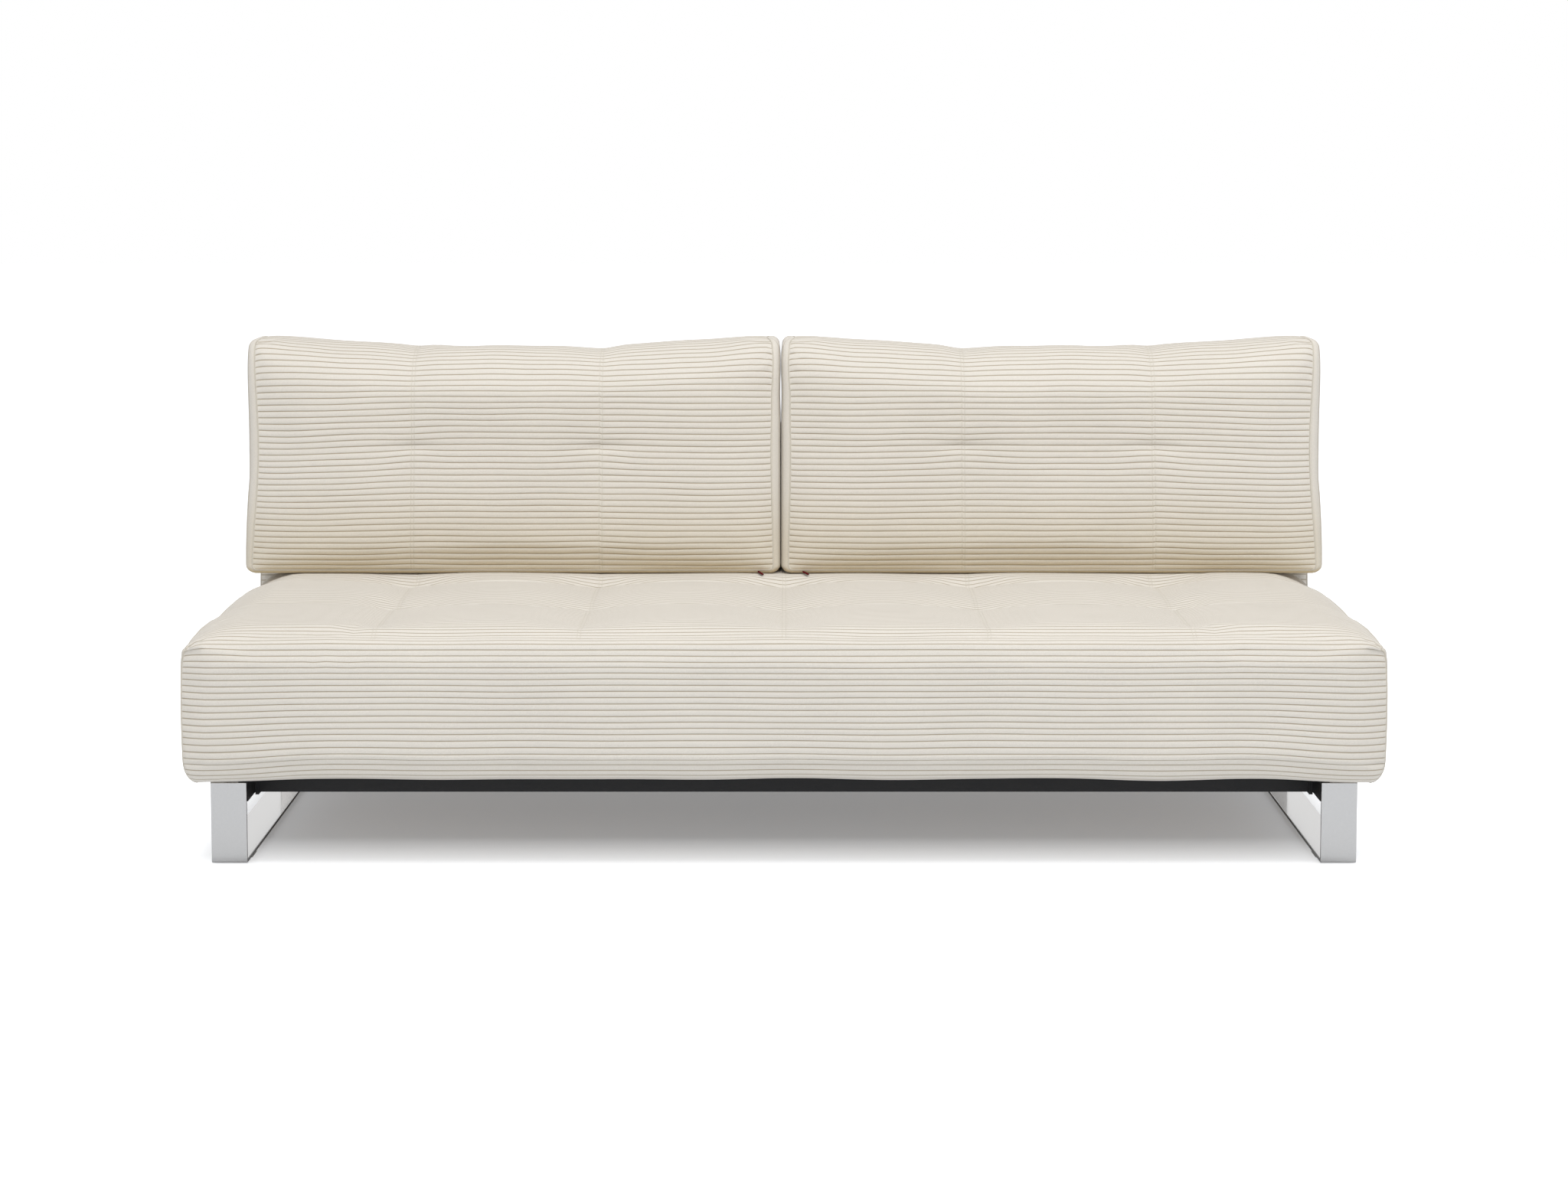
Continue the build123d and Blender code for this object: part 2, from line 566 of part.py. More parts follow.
def rear_leg():
    """Posts with their link ears, crossbar, feet and pins: the leg that carries the folded back."""
    post_outer = BACK_FRAME_HALF - LEG_SIDE_CLEARANCE
    post_x = post_outer - LEG_TUBE / 2
    tube_low = LEG_Z - LEG_LENGTH + FOOT_HEIGHT
    pin_hole = side_pin(0, SEAT_HALF, LEG_Y, LEG_Z, PIN_RADIUS + PIN_CLEARANCE)
    ear_y = LEG_Y + LINK_BEHIND
    ear_z = LEG_Z - LINK_BELOW
    ear_radius = LINK_WIDTH / 2
    ear = make_hull([
        *(Pos(ear_y, ear_z) * Circle(ear_radius)).edges(),
        *(Pos(LEG_Y, ear_z) * Rectangle(2 * ear_radius, 3 * ear_radius)).edges(),
    ])
    ear_pin_hole = side_pin(post_outer, SEAT_HALF, ear_y, ear_z, LINK_PIN_RADIUS + PIN_CLEARANCE)
    post = square_tube((post_x, LEG_Y, tube_low), (post_x, LEG_Y, LEG_Z + LEG_TOP), LEG_TUBE) - pin_hole
    post = post + (extrude(across(post_outer) * ear, PLATE) - ear_pin_hole)
    bar_z = LEG_Z - LEG_LENGTH + CROSSBAR_HEIGHT
    bar_end = post_x - LEG_TUBE / 2
    foot = box_between(
        (post_x - LEG_TUBE / 2, LEG_Y - LEG_TUBE / 2, LEG_Z - LEG_LENGTH),
        (post_x + LEG_TUBE / 2, LEG_Y + LEG_TUBE / 2, tube_low),
    )
    foot = fillet(foot.edges().group_by(Axis.Z)[0], TUBE_WALL)
    pin = headed_pin(post_outer - LEG_TUBE, BACK_PLATE_X, LEG_Y, LEG_Z, PIN_RADIUS)
    link_outer = LINK_X + PLATE + DRUM_CLEARANCE
    link_pin = headed_pin(post_outer, link_outer, ear_y, ear_z, LINK_PIN_RADIUS)
    return {
        "rear_leg_post_left": post,
        "rear_leg_post_right": mirror(post, about=Plane.YZ),
        "rear_leg_crossbar": square_tube((-bar_end, LEG_Y, bar_z), (bar_end, LEG_Y, bar_z), LEG_TUBE),
        "rear_leg_feet": on_both_sides([foot]),
        "rear_leg_pins": on_both_sides([pin]),
        "link_upper_pins": on_both_sides([link_pin]),
    }


def leg_link():
    """Flat link, parallel to the line between the fold pivot and the leg pivot."""
    ends = []
    holes = []
    clearances = (PIN_CLEARANCE, LINK_EYE_CLEARANCE)
    for (y, z), clearance in zip(((PIVOT_Y, PIVOT_Z), (LEG_Y, LEG_Z)), clearances):
        eye = Pos(y + LINK_BEHIND, z - LINK_BELOW)
        ends += (eye * Circle(LINK_WIDTH / 2)).edges()
        holes.append(eye * Circle(LINK_PIN_RADIUS + clearance))
    return extrude(across(LINK_X) * (make_hull(ends) - holes), PLATE)


def back_front_y(z):
    """Y of the plane of the back's front face at a height."""
    lean = radians(LEAN)
    return PIVOT_Y - PIVOT_BELOW_FRONT / cos(lean) + (z - PIVOT_Z) * tan(lean)


def cushion_section(height, thinner):
    """Level section of the right-hand cushion at a height above its bottom."""
    from_edge = min(height, CUSHION_HEIGHT - height)
    shrink = roll_in(CUSHION_ROLL, from_edge) + thinner
    waist = sin(radians(180 * height / CUSHION_HEIGHT))
    tuft = CUSHION_SEAM_DROP + (CUSHION_TUFT_DROP - CUSHION_SEAM_DROP) * waist**4
    crown = CUSHION_CROWN * waist**0.5 if from_edge > 0 else 0.0
    against = back_front_y(CUSHION_BOTTOM + height) - CUSHION_BEHIND
    rear = against - shrink
    front = against - CUSHION_DEPTH + shrink
    near = CUSHION_GAP / 2 + CUSHION_DRAW_IN * waist + shrink
    far = CUSHION_END - CUSHION_DRAW_IN * waist - shrink
    corners = [
        (near, front),
        (near, rear),
        (far, rear),
        (far, front),
        (SEAMS[4], front - crown / 2 + tuft * waist),
        (SEAMS[3], front - crown / 2 + tuft * waist),
    ]
    bow = crown / 2 + CUSHION_SIDE_BOW
    rises = [CUSHION_SIDE_BOW, 0, CUSHION_SIDE_BOW, bow, bow, bow]
    return outline(Plane.XY.offset(CUSHION_BOTTOM + height), corners, rises)


def cushion_body(thinner=0.0):
    """Crowned loft, drawn in at its sides and along its seams."""
    low = thinner
    high = CUSHION_HEIGHT - thinner
    return loft([cushion_section(low + step * (high - low), thinner) for step in CUSHION_STEPS])


def cushions():
    """Two covers with their fills and zip tabs."""
    cover = cushion_body() - cushion_body(CUSHION_WALL)
    fill = cushion_body(CUSHION_WALL + SOFT_CLEARANCE)
    front = cover.bounding_box().min.Y + CUSHION_ROLL + CUSHION_CROWN
    tab = box_between(
        (ZIP_TAB_FROM_MIDDLE, front, CUSHION_BOTTOM - SOFT_CLEARANCE - ZIP_TAB_LENGTH),
        (ZIP_TAB_FROM_MIDDLE + ZIP_TAB_WIDTH, front + ZIP_TAB_THICKNESS, CUSHION_BOTTOM - SOFT_CLEARANCE),
    )
    named = {"cover": cover, "fill": fill, "zip_tab": tab}
    right = {"cushion_right_" + name: mirror(part, about=Plane.YZ) for name, part in named.items()}
    return {"cushion_left_" + name: part for name, part in named.items()} | right


def sofa_bed():
    """Every node by name, in the build frame."""
    nodes = seat_mattress() | base_frame() | seat_slats() | fold_hinge() | rear_leg()
    leaning = back_pad() | back_frame()
    nodes |= {name: BACK_PLACE * part for name, part in leaning.items()}
    link = leg_link()
    nodes |= {"link_left": link, "link_right": mirror(link, about=Plane.YZ)}
    return nodes | cushions()


def main():
    os.makedirs("parts", exist_ok=True)
    nodes = sofa_bed()
    boxes = [part.bounding_box() for part in nodes.values()]
    front = min(box.min.Y for box in boxes)
    rear = max(box.max.Y for box in boxes)
    centre = Pos(0, -(front + rear) / 2, 0)
    for name, part in nodes.items():
        export_step(centre * part, f"parts/{name}.step")
    print("Y from front", round(front, 3), round(rear, 3), "pivot", round(PIVOT_Y, 3), round(PIVOT_Z, 3))
    print("leg pivot", round(LEG_Y, 3), round(LEG_Z, 3))


if __name__ == "__main__":
    main()
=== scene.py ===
from math import cos, pi, radians, sin, sqrt, tan

import bpy
import numpy as np
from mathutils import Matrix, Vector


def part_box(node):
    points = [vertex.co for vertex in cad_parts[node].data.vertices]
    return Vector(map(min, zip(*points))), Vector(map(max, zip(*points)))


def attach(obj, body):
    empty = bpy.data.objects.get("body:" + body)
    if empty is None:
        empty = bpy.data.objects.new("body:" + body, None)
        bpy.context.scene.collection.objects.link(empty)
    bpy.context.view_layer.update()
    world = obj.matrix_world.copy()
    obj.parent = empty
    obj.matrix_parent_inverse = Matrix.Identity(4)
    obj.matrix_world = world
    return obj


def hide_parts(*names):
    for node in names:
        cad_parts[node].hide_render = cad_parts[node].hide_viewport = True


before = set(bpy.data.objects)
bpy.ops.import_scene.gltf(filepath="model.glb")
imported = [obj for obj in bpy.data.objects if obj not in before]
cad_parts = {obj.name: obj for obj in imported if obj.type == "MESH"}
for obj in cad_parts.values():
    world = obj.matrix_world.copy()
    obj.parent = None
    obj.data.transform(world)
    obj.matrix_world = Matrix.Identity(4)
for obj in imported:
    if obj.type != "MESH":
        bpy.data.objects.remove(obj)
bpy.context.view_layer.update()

# Metres, in the CAD frame: +X is the sitter's left, -Y the front, +Z up.
SEAT_LOW, SEAT_HIGH = (np.array(corner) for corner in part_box("seat_cover"))
SEAT_DEPTH = SEAT_HIGH[1] - SEAT_LOW[1]
SEAT_BOTTOM = SEAT_LOW[2]
SEAT_TOP = SEAT_HIGH[2]
SEAT_FRONT = SEAT_LOW[1]
SEAMS = np.array([-0.68, -0.34, 0.0, 0.34, 0.68])
SEAT_ROWS = np.array([0.408, 0.748])
FOLD_PIVOT = np.array([0.50908, 0.289])
LEAN = radians(10)

# Corduroy: across each wale, how far along it a line of points lies and how deep in the groove.
WALE_STEPS = ((0.0, 1.0), (0.085, 0.45), (0.17, 0.0), (0.83, 0.0), (0.915, 0.45))
SEAT_WALE = 0.0103
CUSHION_WALE = 0.0112
SEAT_GROOVE = 0.0008
CUSHION_GROOVE = 0.0010
WALE_WANDER = 0.0005
PANEL_SHIFT = 0.0007
GROOVE_UNEVENNESS = 0.18
COLUMN_STEP = 0.02

# Shares by which grooves are shallower, or their painted shade fainter, where they are sewn and where the
# cloth lies level.
SEWN_SHALLOWER = 0.5
LEVEL_SHALLOWER = 0.75
LEVEL_FAINTER = 0.35

# Seams: across each, how far from it a line of points lies and how deep in the stitching.
SEAM_STEPS = ((-0.009, 0.0), (-0.0035, 0.1), (-0.0027, 1.0), (-0.0019, 0.1), (0.0019, 0.1),
              (0.0027, 1.0), (0.0035, 0.1), (0.009, 0.0))
SEAM_DEPTH = 0.0003
EDGE_FADE = 0.0014
EDGE_STITCH = 0.8
# Share of the painted groove shade that the seam cords carry.
CORD_GROOVE = 0.25

# Control points: their spacing, and how far from an end the ones next to it lie.
CONTROL_STEP = 0.018
END_STEPS = np.array([0.0, 0.0012, 0.0032, 0.006, 0.010, 0.015, 0.022, 0.031])

# Sewn pads: their ends, the curves by which these roll in, their tufted cells and their end panels.
SEAT_END = 0.9975
BACK_END = 1.0045
BACK_FACE = 0.115
END_ROLL = 0.085
END_TOP = 0.033
FACE_ROLL = 0.030
FACE_TURN = 0.010
HALF_CELL = 0.17
CELL_POWER = 0.8
DIMPLE_SHARE = 0.4
PAD_DIMPLE = (0.05, 0.036)
PAD_GATHER = 0.5
PAD_UNEVENNESS = 0.0012
END_RELIEF = 0.35
PATH_STEPS = 600
FOLD_SPACING = 0.02
REAR_CLEARANCE = 0.001
PANEL_ROWS = 26
PANEL_COLUMNS = 52
PANEL_BULGE = 0.003
PANEL_FULLNESS = 0.35
PANEL_TUCK = 0.06
PANEL_FADE = 0.02


def deselect():
    bpy.ops.object.select_all(action="DESELECT")


def unit(vector):
    return vector / np.maximum(np.linalg.norm(vector, axis=-1, keepdims=True), 1e-12)


def smooth_step(low, high, value):
    t = np.clip((value - low) / (high - low), 0, 1)
    return t * t * (3 - 2 * t)


def rounded_path(corners, radii, arc_steps=14):
    """Points along a line through the corners, with each inner corner rounded to its radius."""
    corners = [np.array(corner, float) for corner in corners]
    points = [corners[0]]
    for before, corner, after, radius in zip(corners, corners[1:], corners[2:], radii):
        to_before = unit(before - corner)
        to_after = unit(after - corner)
        half = np.arccos(np.clip(to_before @ to_after, -1, 1)) / 2
        start = corner + to_before * radius / tan(half)
        end = corner + to_after * radius / tan(half)
        centre = corner + unit(to_before + to_after) * radius / sin(half)
        for t in np.linspace(0, 1, arc_steps):
            points.append(centre + radius * unit(start * (1 - t) + end * t - centre))
    points.append(corners[-1])
    return np.array(points)


def lengths_along(points):
    steps = np.linalg.norm(np.diff(points, axis=0), axis=-1)
    return np.concatenate([[0.0], np.cumsum(steps)])


def along(points, places):
    """Points at given distances along a line of points."""
    lengths = lengths_along(points)
    return np.stack([np.interp(places, lengths, points[:, k]) for k in range(points.shape[1])], -1)


def cubic_weights(places, count):
    """Rows of weights that pass a smooth curve through evenly numbered points."""
    base = np.clip(np.floor(places).astype(int), 0, count - 2)
    t = places - base
    weights = (
        -0.5 * t + t**2 - 0.5 * t**3,
        1 - 2.5 * t**2 + 1.5 * t**3,
        0.5 * t + 2 * t**2 - 1.5 * t**3,
        -0.5 * t**2 + 0.5 * t**3,
    )
    rows = np.zeros((len(places), count))
    for k, weight in enumerate(weights):
        np.add.at(rows, (np.arange(len(places)), np.clip(base + k - 1, 0, count - 1)), weight)
    return rows


def refine(control, row_places, column_places):
    """Smooth surface through a grid of control points, at numbered places along rows and columns."""
    tall = np.einsum("ij,jkc->ikc", cubic_weights(row_places, control.shape[0]), control)
    return np.einsum("kl,ilc->ikc", cubic_weights(column_places, control.shape[1]), tall)


def normals_of(points):
    return unit(np.cross(np.gradient(points, axis=1), np.gradient(points, axis=0)))


def ripple(a, b, seed, waves=7):
    """Smooth uneven field over two coordinates in metres, about -1 to 1."""
    draw = np.random.default_rng(seed)
    total = 0.0
    for _ in range(waves):
        turn = draw.uniform(0, 2 * pi)
        pace = draw.uniform(9, 42)
        total = total + np.sin(pace * (a * cos(turn) + b * sin(turn)) + draw.uniform(0, 2 * pi))
    return total / sqrt(waves)


def wale_lines(length, pitch):
    """Distances across the wales where lines of points lie, and how deep in a groove each is."""
    count = max(int(round(length / pitch)), 1)
    pitch = length / count
    places = [(i + step) * pitch for i in range(count) for step, _ in WALE_STEPS]
    depths = [depth for _ in range(count) for _, depth in WALE_STEPS]
    return np.array(places + [length]), np.array(depths + [1.0])


def closer_at_ends(low, high, step):
    """Places from low to high, even in the middle and closer together near the ends."""
    margin = END_STEPS[-1] + step / 2
    middle = np.linspace(low + margin, high - margin, int((high - low - 2 * margin) / step) + 1)
    return np.concatenate([low + END_STEPS, middle, high - END_STEPS[::-1]])


def column_lines(low, high, seams):
    """Places along the wales where lines of points lie, closer at the seams, and the seam's depth there."""
    even = closer_at_ends(low, high, COLUMN_STEP)
    edge = SEAM_STEPS[-1][0] + COLUMN_STEP / 3
    places = [x for x in even if all(abs(x - seam) > edge for seam in seams)]
    depths = [0.0] * len(places)
    for seam in seams:
        places += [seam + step for step, _ in SEAM_STEPS]
        depths += [depth for _, depth in SEAM_STEPS]
    order = np.argsort(places)
    return np.array(places)[order], np.array(depths)[order]


def grid_piece(name, points, marks=None):
    """Mesh grid through rows of points, with its marks kept as attributes."""
    rows, columns = points.shape[:2]
    deselect()
    bpy.ops.mesh.primitive_grid_add(x_subdivisions=columns - 1, y_subdivisions=rows - 1, size=1)
    piece = bpy.context.object
    piece.name = name
    piece.data.vertices.foreach_set("co", np.ascontiguousarray(points, np.float32).reshape(-1))
    for mark, values in (marks or {}).items():
        attribute = piece.data.attributes.new(mark, "FLOAT", "POINT")
        attribute.data.foreach_set("value", np.ascontiguousarray(values, np.float32).reshape(-1))
    piece.data.update()
    bpy.ops.object.shade_smooth()
    return piece


def joined(name, pieces):
    deselect()
    for piece in pieces:
        piece.select_set(True)
    bpy.context.view_layer.objects.active = pieces[0]
    if len(pieces) > 1:
        bpy.ops.object.join()
    piece = bpy.context.object
    piece.name = name
    piece.data.name = name
    return piece


def puffed(control, pinned, cap, pressure=4.0, frames=20):
    """Control points after air pressure has swelled the cloth between what is pinned."""
    cloth_piece = grid_piece("cloth", control)
    pins = cloth_piece.vertex_groups.new(name="pins")
    pins.add([int(i) for i in np.flatnonzero(pinned.reshape(-1))], 1.0, "REPLACE")
    cloth = cloth_piece.modifiers.new("cloth", "CLOTH")
    cloth.settings.quality = 5
    cloth.settings.mass = 0.3
    cloth.settings.use_pressure = True
    cloth.settings.uniform_pressure_force = pressure
    cloth.settings.vertex_group_mass = "pins"
    cloth.settings.effector_weights.gravity = 0
    cloth.collision_settings.use_collision = False
    scene = bpy.context.scene
    for number in range(1, frames + 1):
        scene.frame_set(number)
    shown = cloth_piece.evaluated_get(bpy.context.evaluated_depsgraph_get())
    moved = np.zeros(control.size, np.float32)
    shown.data.vertices.foreach_get("co", moved)
    shift = moved.reshape(control.shape) - control
    length = np.linalg.norm(shift, axis=-1, keepdims=True)
    mesh = cloth_piece.data
    bpy.data.objects.remove(cloth_piece)
    bpy.data.meshes.remove(mesh)
    scene.frame_set(1)
    return control + shift * np.minimum(1, cap / np.maximum(length, 1e-9))


def corded(control, v_line, pitch, x_line, seams, stitched, groove_depth, seed):
    """Fine corduroy over a control grid: wales along X, stitched seams across them."""
    lines, depth = wale_lines(v_line[-1], pitch)
    columns, seam = column_lines(x_line[0], x_line[-1], seams)
    row_places = np.interp(lines, v_line, np.arange(len(v_line)))
    column_places = np.interp(columns, x_line, np.arange(len(x_line)))
    points = refine(control, row_places, column_places)
    across = unit(np.gradient(points, axis=0))
    normal = normals_of(points)
    x = columns[None, :]
    v = lines[:, None]
    panel = np.searchsorted(np.array(seams), columns)[None, :]
    wander = WALE_WANDER * ripple(x, 3 * v, seed) + PANEL_SHIFT * np.sin(11 * panel + seed) * stitched(v)
    fade = smooth_step(0.0, EDGE_FADE, np.minimum(x - x_line[0], x_line[-1] - x))
    uneven = 1 + GROOVE_UNEVENNESS * ripple(2 * x, 9 * v, seed + 1)
    sewn = seam[None, :] * stitched(v)
    groove = depth[:, None] * fade * (1 - SEWN_SHALLOWER * sewn)
    points = points + across * (wander * fade)[..., None]
    level = np.clip(normal[..., 2], 0, 1) ** 2
    hollow = groove_depth * groove * uneven * (1 - LEVEL_SHALLOWER * level)
    points = points - normal * (hollow + SEAM_DEPTH * sewn)[..., None]
    sewn = np.maximum(sewn, EDGE_STITCH * (1 - fade))
    # The groove mark sets how strongly the material paints shade into the grooves.
    return points, {"groove": groove ** (1 - LEVEL_FAINTER * level), "sewn": sewn}


def relief(x, v, rows, seams, drops, seam_weight, dimple_size, steep=1.0):
    """How far a tufted pad's surface lies below its crown: at tufts, creases and seams."""
    tuft, crease, seam = drops
    seam_near = np.min(np.abs(x[..., None] - seams), -1)
    past = v[..., None] - rows
    row_near = np.min(np.where(past < 0, -past * steep, past), -1)
    column = np.sin(pi / 2 * np.minimum(seam_near / HALF_CELL, 1)) ** CELL_POWER
    column = 1 - (1 - column) * seam_weight(v)
    cell = np.sin(pi / 2 * np.minimum(row_near / HALF_CELL, 1)) ** CELL_POWER
    dimple = np.exp(-((seam_near / dimple_size[0]) ** 2) - (row_near / dimple_size[1]) ** 2)
    dimple = dimple * seam_weight(v)
    full = tuft - crease
    half = tuft - seam
    level = -tuft + full * column + half * cell + (tuft - full - half) * column * cell
    return level - DIMPLE_SHARE * tuft * dimple


def gathered(x, v, rows, seams, pull, reach=(0.07, 0.09)):
    """Wales drawn towards the tufts."""
    total = np.zeros(np.broadcast(x, v).shape)
    for row in rows:
        for seam in seams:
            near = np.exp(-(((x - seam) / reach[0]) ** 2) - ((v - row) / reach[1]) ** 2)
            total = total - pull * near * (v - row)
    return total


def quarter_round(from_edge, radius):
    """How far a rounded corner has drawn in at a distance from the edge."""
    t = np.clip(from_edge / radius, 0, 1)
    return radius * (1 - np.sqrt(1 - (1 - t) ** 2))


def end_shrink(from_end, upward, rolled):
    """How far the pad's end has rolled in: its top and bottom by one curve, its face by another."""
    top = END_TOP / END_ROLL * quarter_round(from_end, END_ROLL) * rolled
    face = FACE_TURN / FACE_ROLL * quarter_round(from_end, FACE_ROLL)
    return top * upward**2 + face * (1 - upward**2)


def end_panel(control, side, first, last):
    """Panel that closes a pad's end, inside the edge of the wrapped panel."""
    edge = control[:, -1 if side > 0 else 0]
    up = 1 - (1 - np.linspace(0, 1, PANEL_ROWS)) ** 2
    back = np.linspace(0, 1, PANEL_COLUMNS) ** 2
    t = up[:, None, None]
    s = back[None, :, None]
    front = along(edge[: first + 1], up * lengths_along(edge[: first + 1])[-1])[:, None]
    rear_edge = edge[last:][::-1]
    rear = along(rear_edge, up * lengths_along(rear_edge)[-1])[:, None]
    top_edge = edge[first : last + 1]
    top = along(top_edge, back * lengths_along(top_edge)[-1])[None]
    low = front[:1] * (1 - s) + rear[:1] * s
    panel = front * (1 - s) + rear * s + low * (1 - t) + top * t
    panel = panel - (low[:, :1] * (1 - s) * (1 - t) + low[:, -1:] * s * (1 - t))
    panel = panel - (top[:, :1] * (1 - s) * t + top[:, -1:] * s * t)
    swell = (np.clip(np.sin(pi * s), 0, 1) * np.clip(np.sin(pi * t), 0, 1)) ** PANEL_FULLNESS
    widest = np.abs(edge[:, 0]).max()
    panel[..., 0] = side * np.minimum(np.abs(panel[..., 0]), widest) + side * PANEL_BULGE * swell[..., 0]
    under = panel[0].copy()
    under[:, 0] -= side * PANEL_TUCK
    panel = np.concatenate([under[None], panel])
    if side < 0:
        panel = panel[:, ::-1]
        back = 1 - back[::-1]
    heights = lengths_along(panel[1:, PANEL_COLUMNS // 2])
    lines, depth = wale_lines(heights[-1], SEAT_WALE)
    places = 1 + np.interp(lines, heights, np.arange(PANEL_ROWS))
    places = np.concatenate([[0.0, 0.5], places])
    depth = np.concatenate([[0.0, 0.0], depth])
    columns = np.linspace(0, PANEL_COLUMNS - 1, 2 * PANEL_COLUMNS)
    points = refine(panel, places, columns)
    inside = np.interp(columns, np.arange(PANEL_COLUMNS), np.minimum(back, 1 - back))
    fade = smooth_step(0, PANEL_FADE, inside)[None, :]
    groove = depth[:, None] * fade
    points = points - normals_of(points) * (SEAT_GROOVE * groove)[..., None]
    return points, {"groove": groove, "sewn": EDGE_STITCH * (1 - fade) + 0 * groove}


def sewn_pad(name, path, rows, drops, end, place, seam_weight, stitched, corners, fold, pinned_rows, cap,
             seed, steep=1.0, rolled=1.0, droop=None, settle=None, rear=None):
    """Mattress: one panel wrapped round it lengthways, sewn in columns and tufted, and two end panels."""
    length = lengths_along(path)[-1]
    v_line = np.linspace(0, length, int(length / CONTROL_STEP))
    v_line = v_line[np.min(np.abs(v_line[:, None] - fold), 1) > FOLD_SPACING]
    v_line = np.sort(np.concatenate([v_line, fold]))
    x_line = closer_at_ends(-end, end, CONTROL_STEP)
    x, v = np.meshgrid(x_line, v_line)
    steps = np.linspace(0, length, PATH_STEPS)
    tangent = np.gradient(along(path, steps), axis=0)
    outward = unit(np.stack([-tangent[:, 1], tangent[:, 0]], -1))
    drawn = v + gathered(x, v, rows, SEAMS, PAD_GATHER)
    if droop:
        drawn = drawn - droop(x, v)
    drawn = np.clip(drawn, 0, length)
    flat = along(path, drawn.reshape(-1)).reshape(*drawn.shape, 2)
    normal = np.stack([np.interp(drawn, steps, outward[:, k]) for k in (0, 1)], -1)
    from_end = end - np.abs(x)
    level = relief(x, drawn, rows, SEAMS, drops, seam_weight, PAD_DIMPLE, steep)
    level = level + PAD_UNEVENNESS * ripple(x, v, seed)
    level = level * smooth_step(0, 0.05, np.minimum(v, length - v))
    level = level * (END_RELIEF + (1 - END_RELIEF) * smooth_step(0, 0.06, from_end))
    level = level - end_shrink(from_end, normal[..., 1], rolled)
    section = flat + normal * level[..., None]
    y, z = place(section[..., 0], section[..., 1])
    control = np.stack([x, y, z], -1)
    if settle:
        control = settle(control, v)
    seam_near = np.min(np.abs(x[..., None] - SEAMS), -1)
    pinned = (seam_near < CONTROL_STEP / 2) & (seam_weight(v) > 0.5)
    pinned |= from_end < 1e-6
    pinned |= np.minimum(v, length - v) < pinned_rows
    control = puffed(control, pinned, cap)
    if rear is not None:
        control[..., 1] = np.minimum(control[..., 1], rear)
    points, marks = corded(control, v_line, SEAT_WALE, x_line, SEAMS, stitched, SEAT_GROOVE, seed)
    pieces = [grid_piece(name, points, marks)]
    first, last = (int(np.argmin(np.abs(v_line - corner))) for corner in corners)
    for side in (1, -1):
        points, marks = end_panel(control, side, first, last)
        pieces.append(grid_piece(name, points, marks))
        edge = control[:, -1 if side > 0 else 0]
        line = along(edge, np.linspace(0, lengths_along(edge)[-1], 6 * len(edge)))
        pieces.append(seam_cord(name, line))
    return joined(name, pieces)


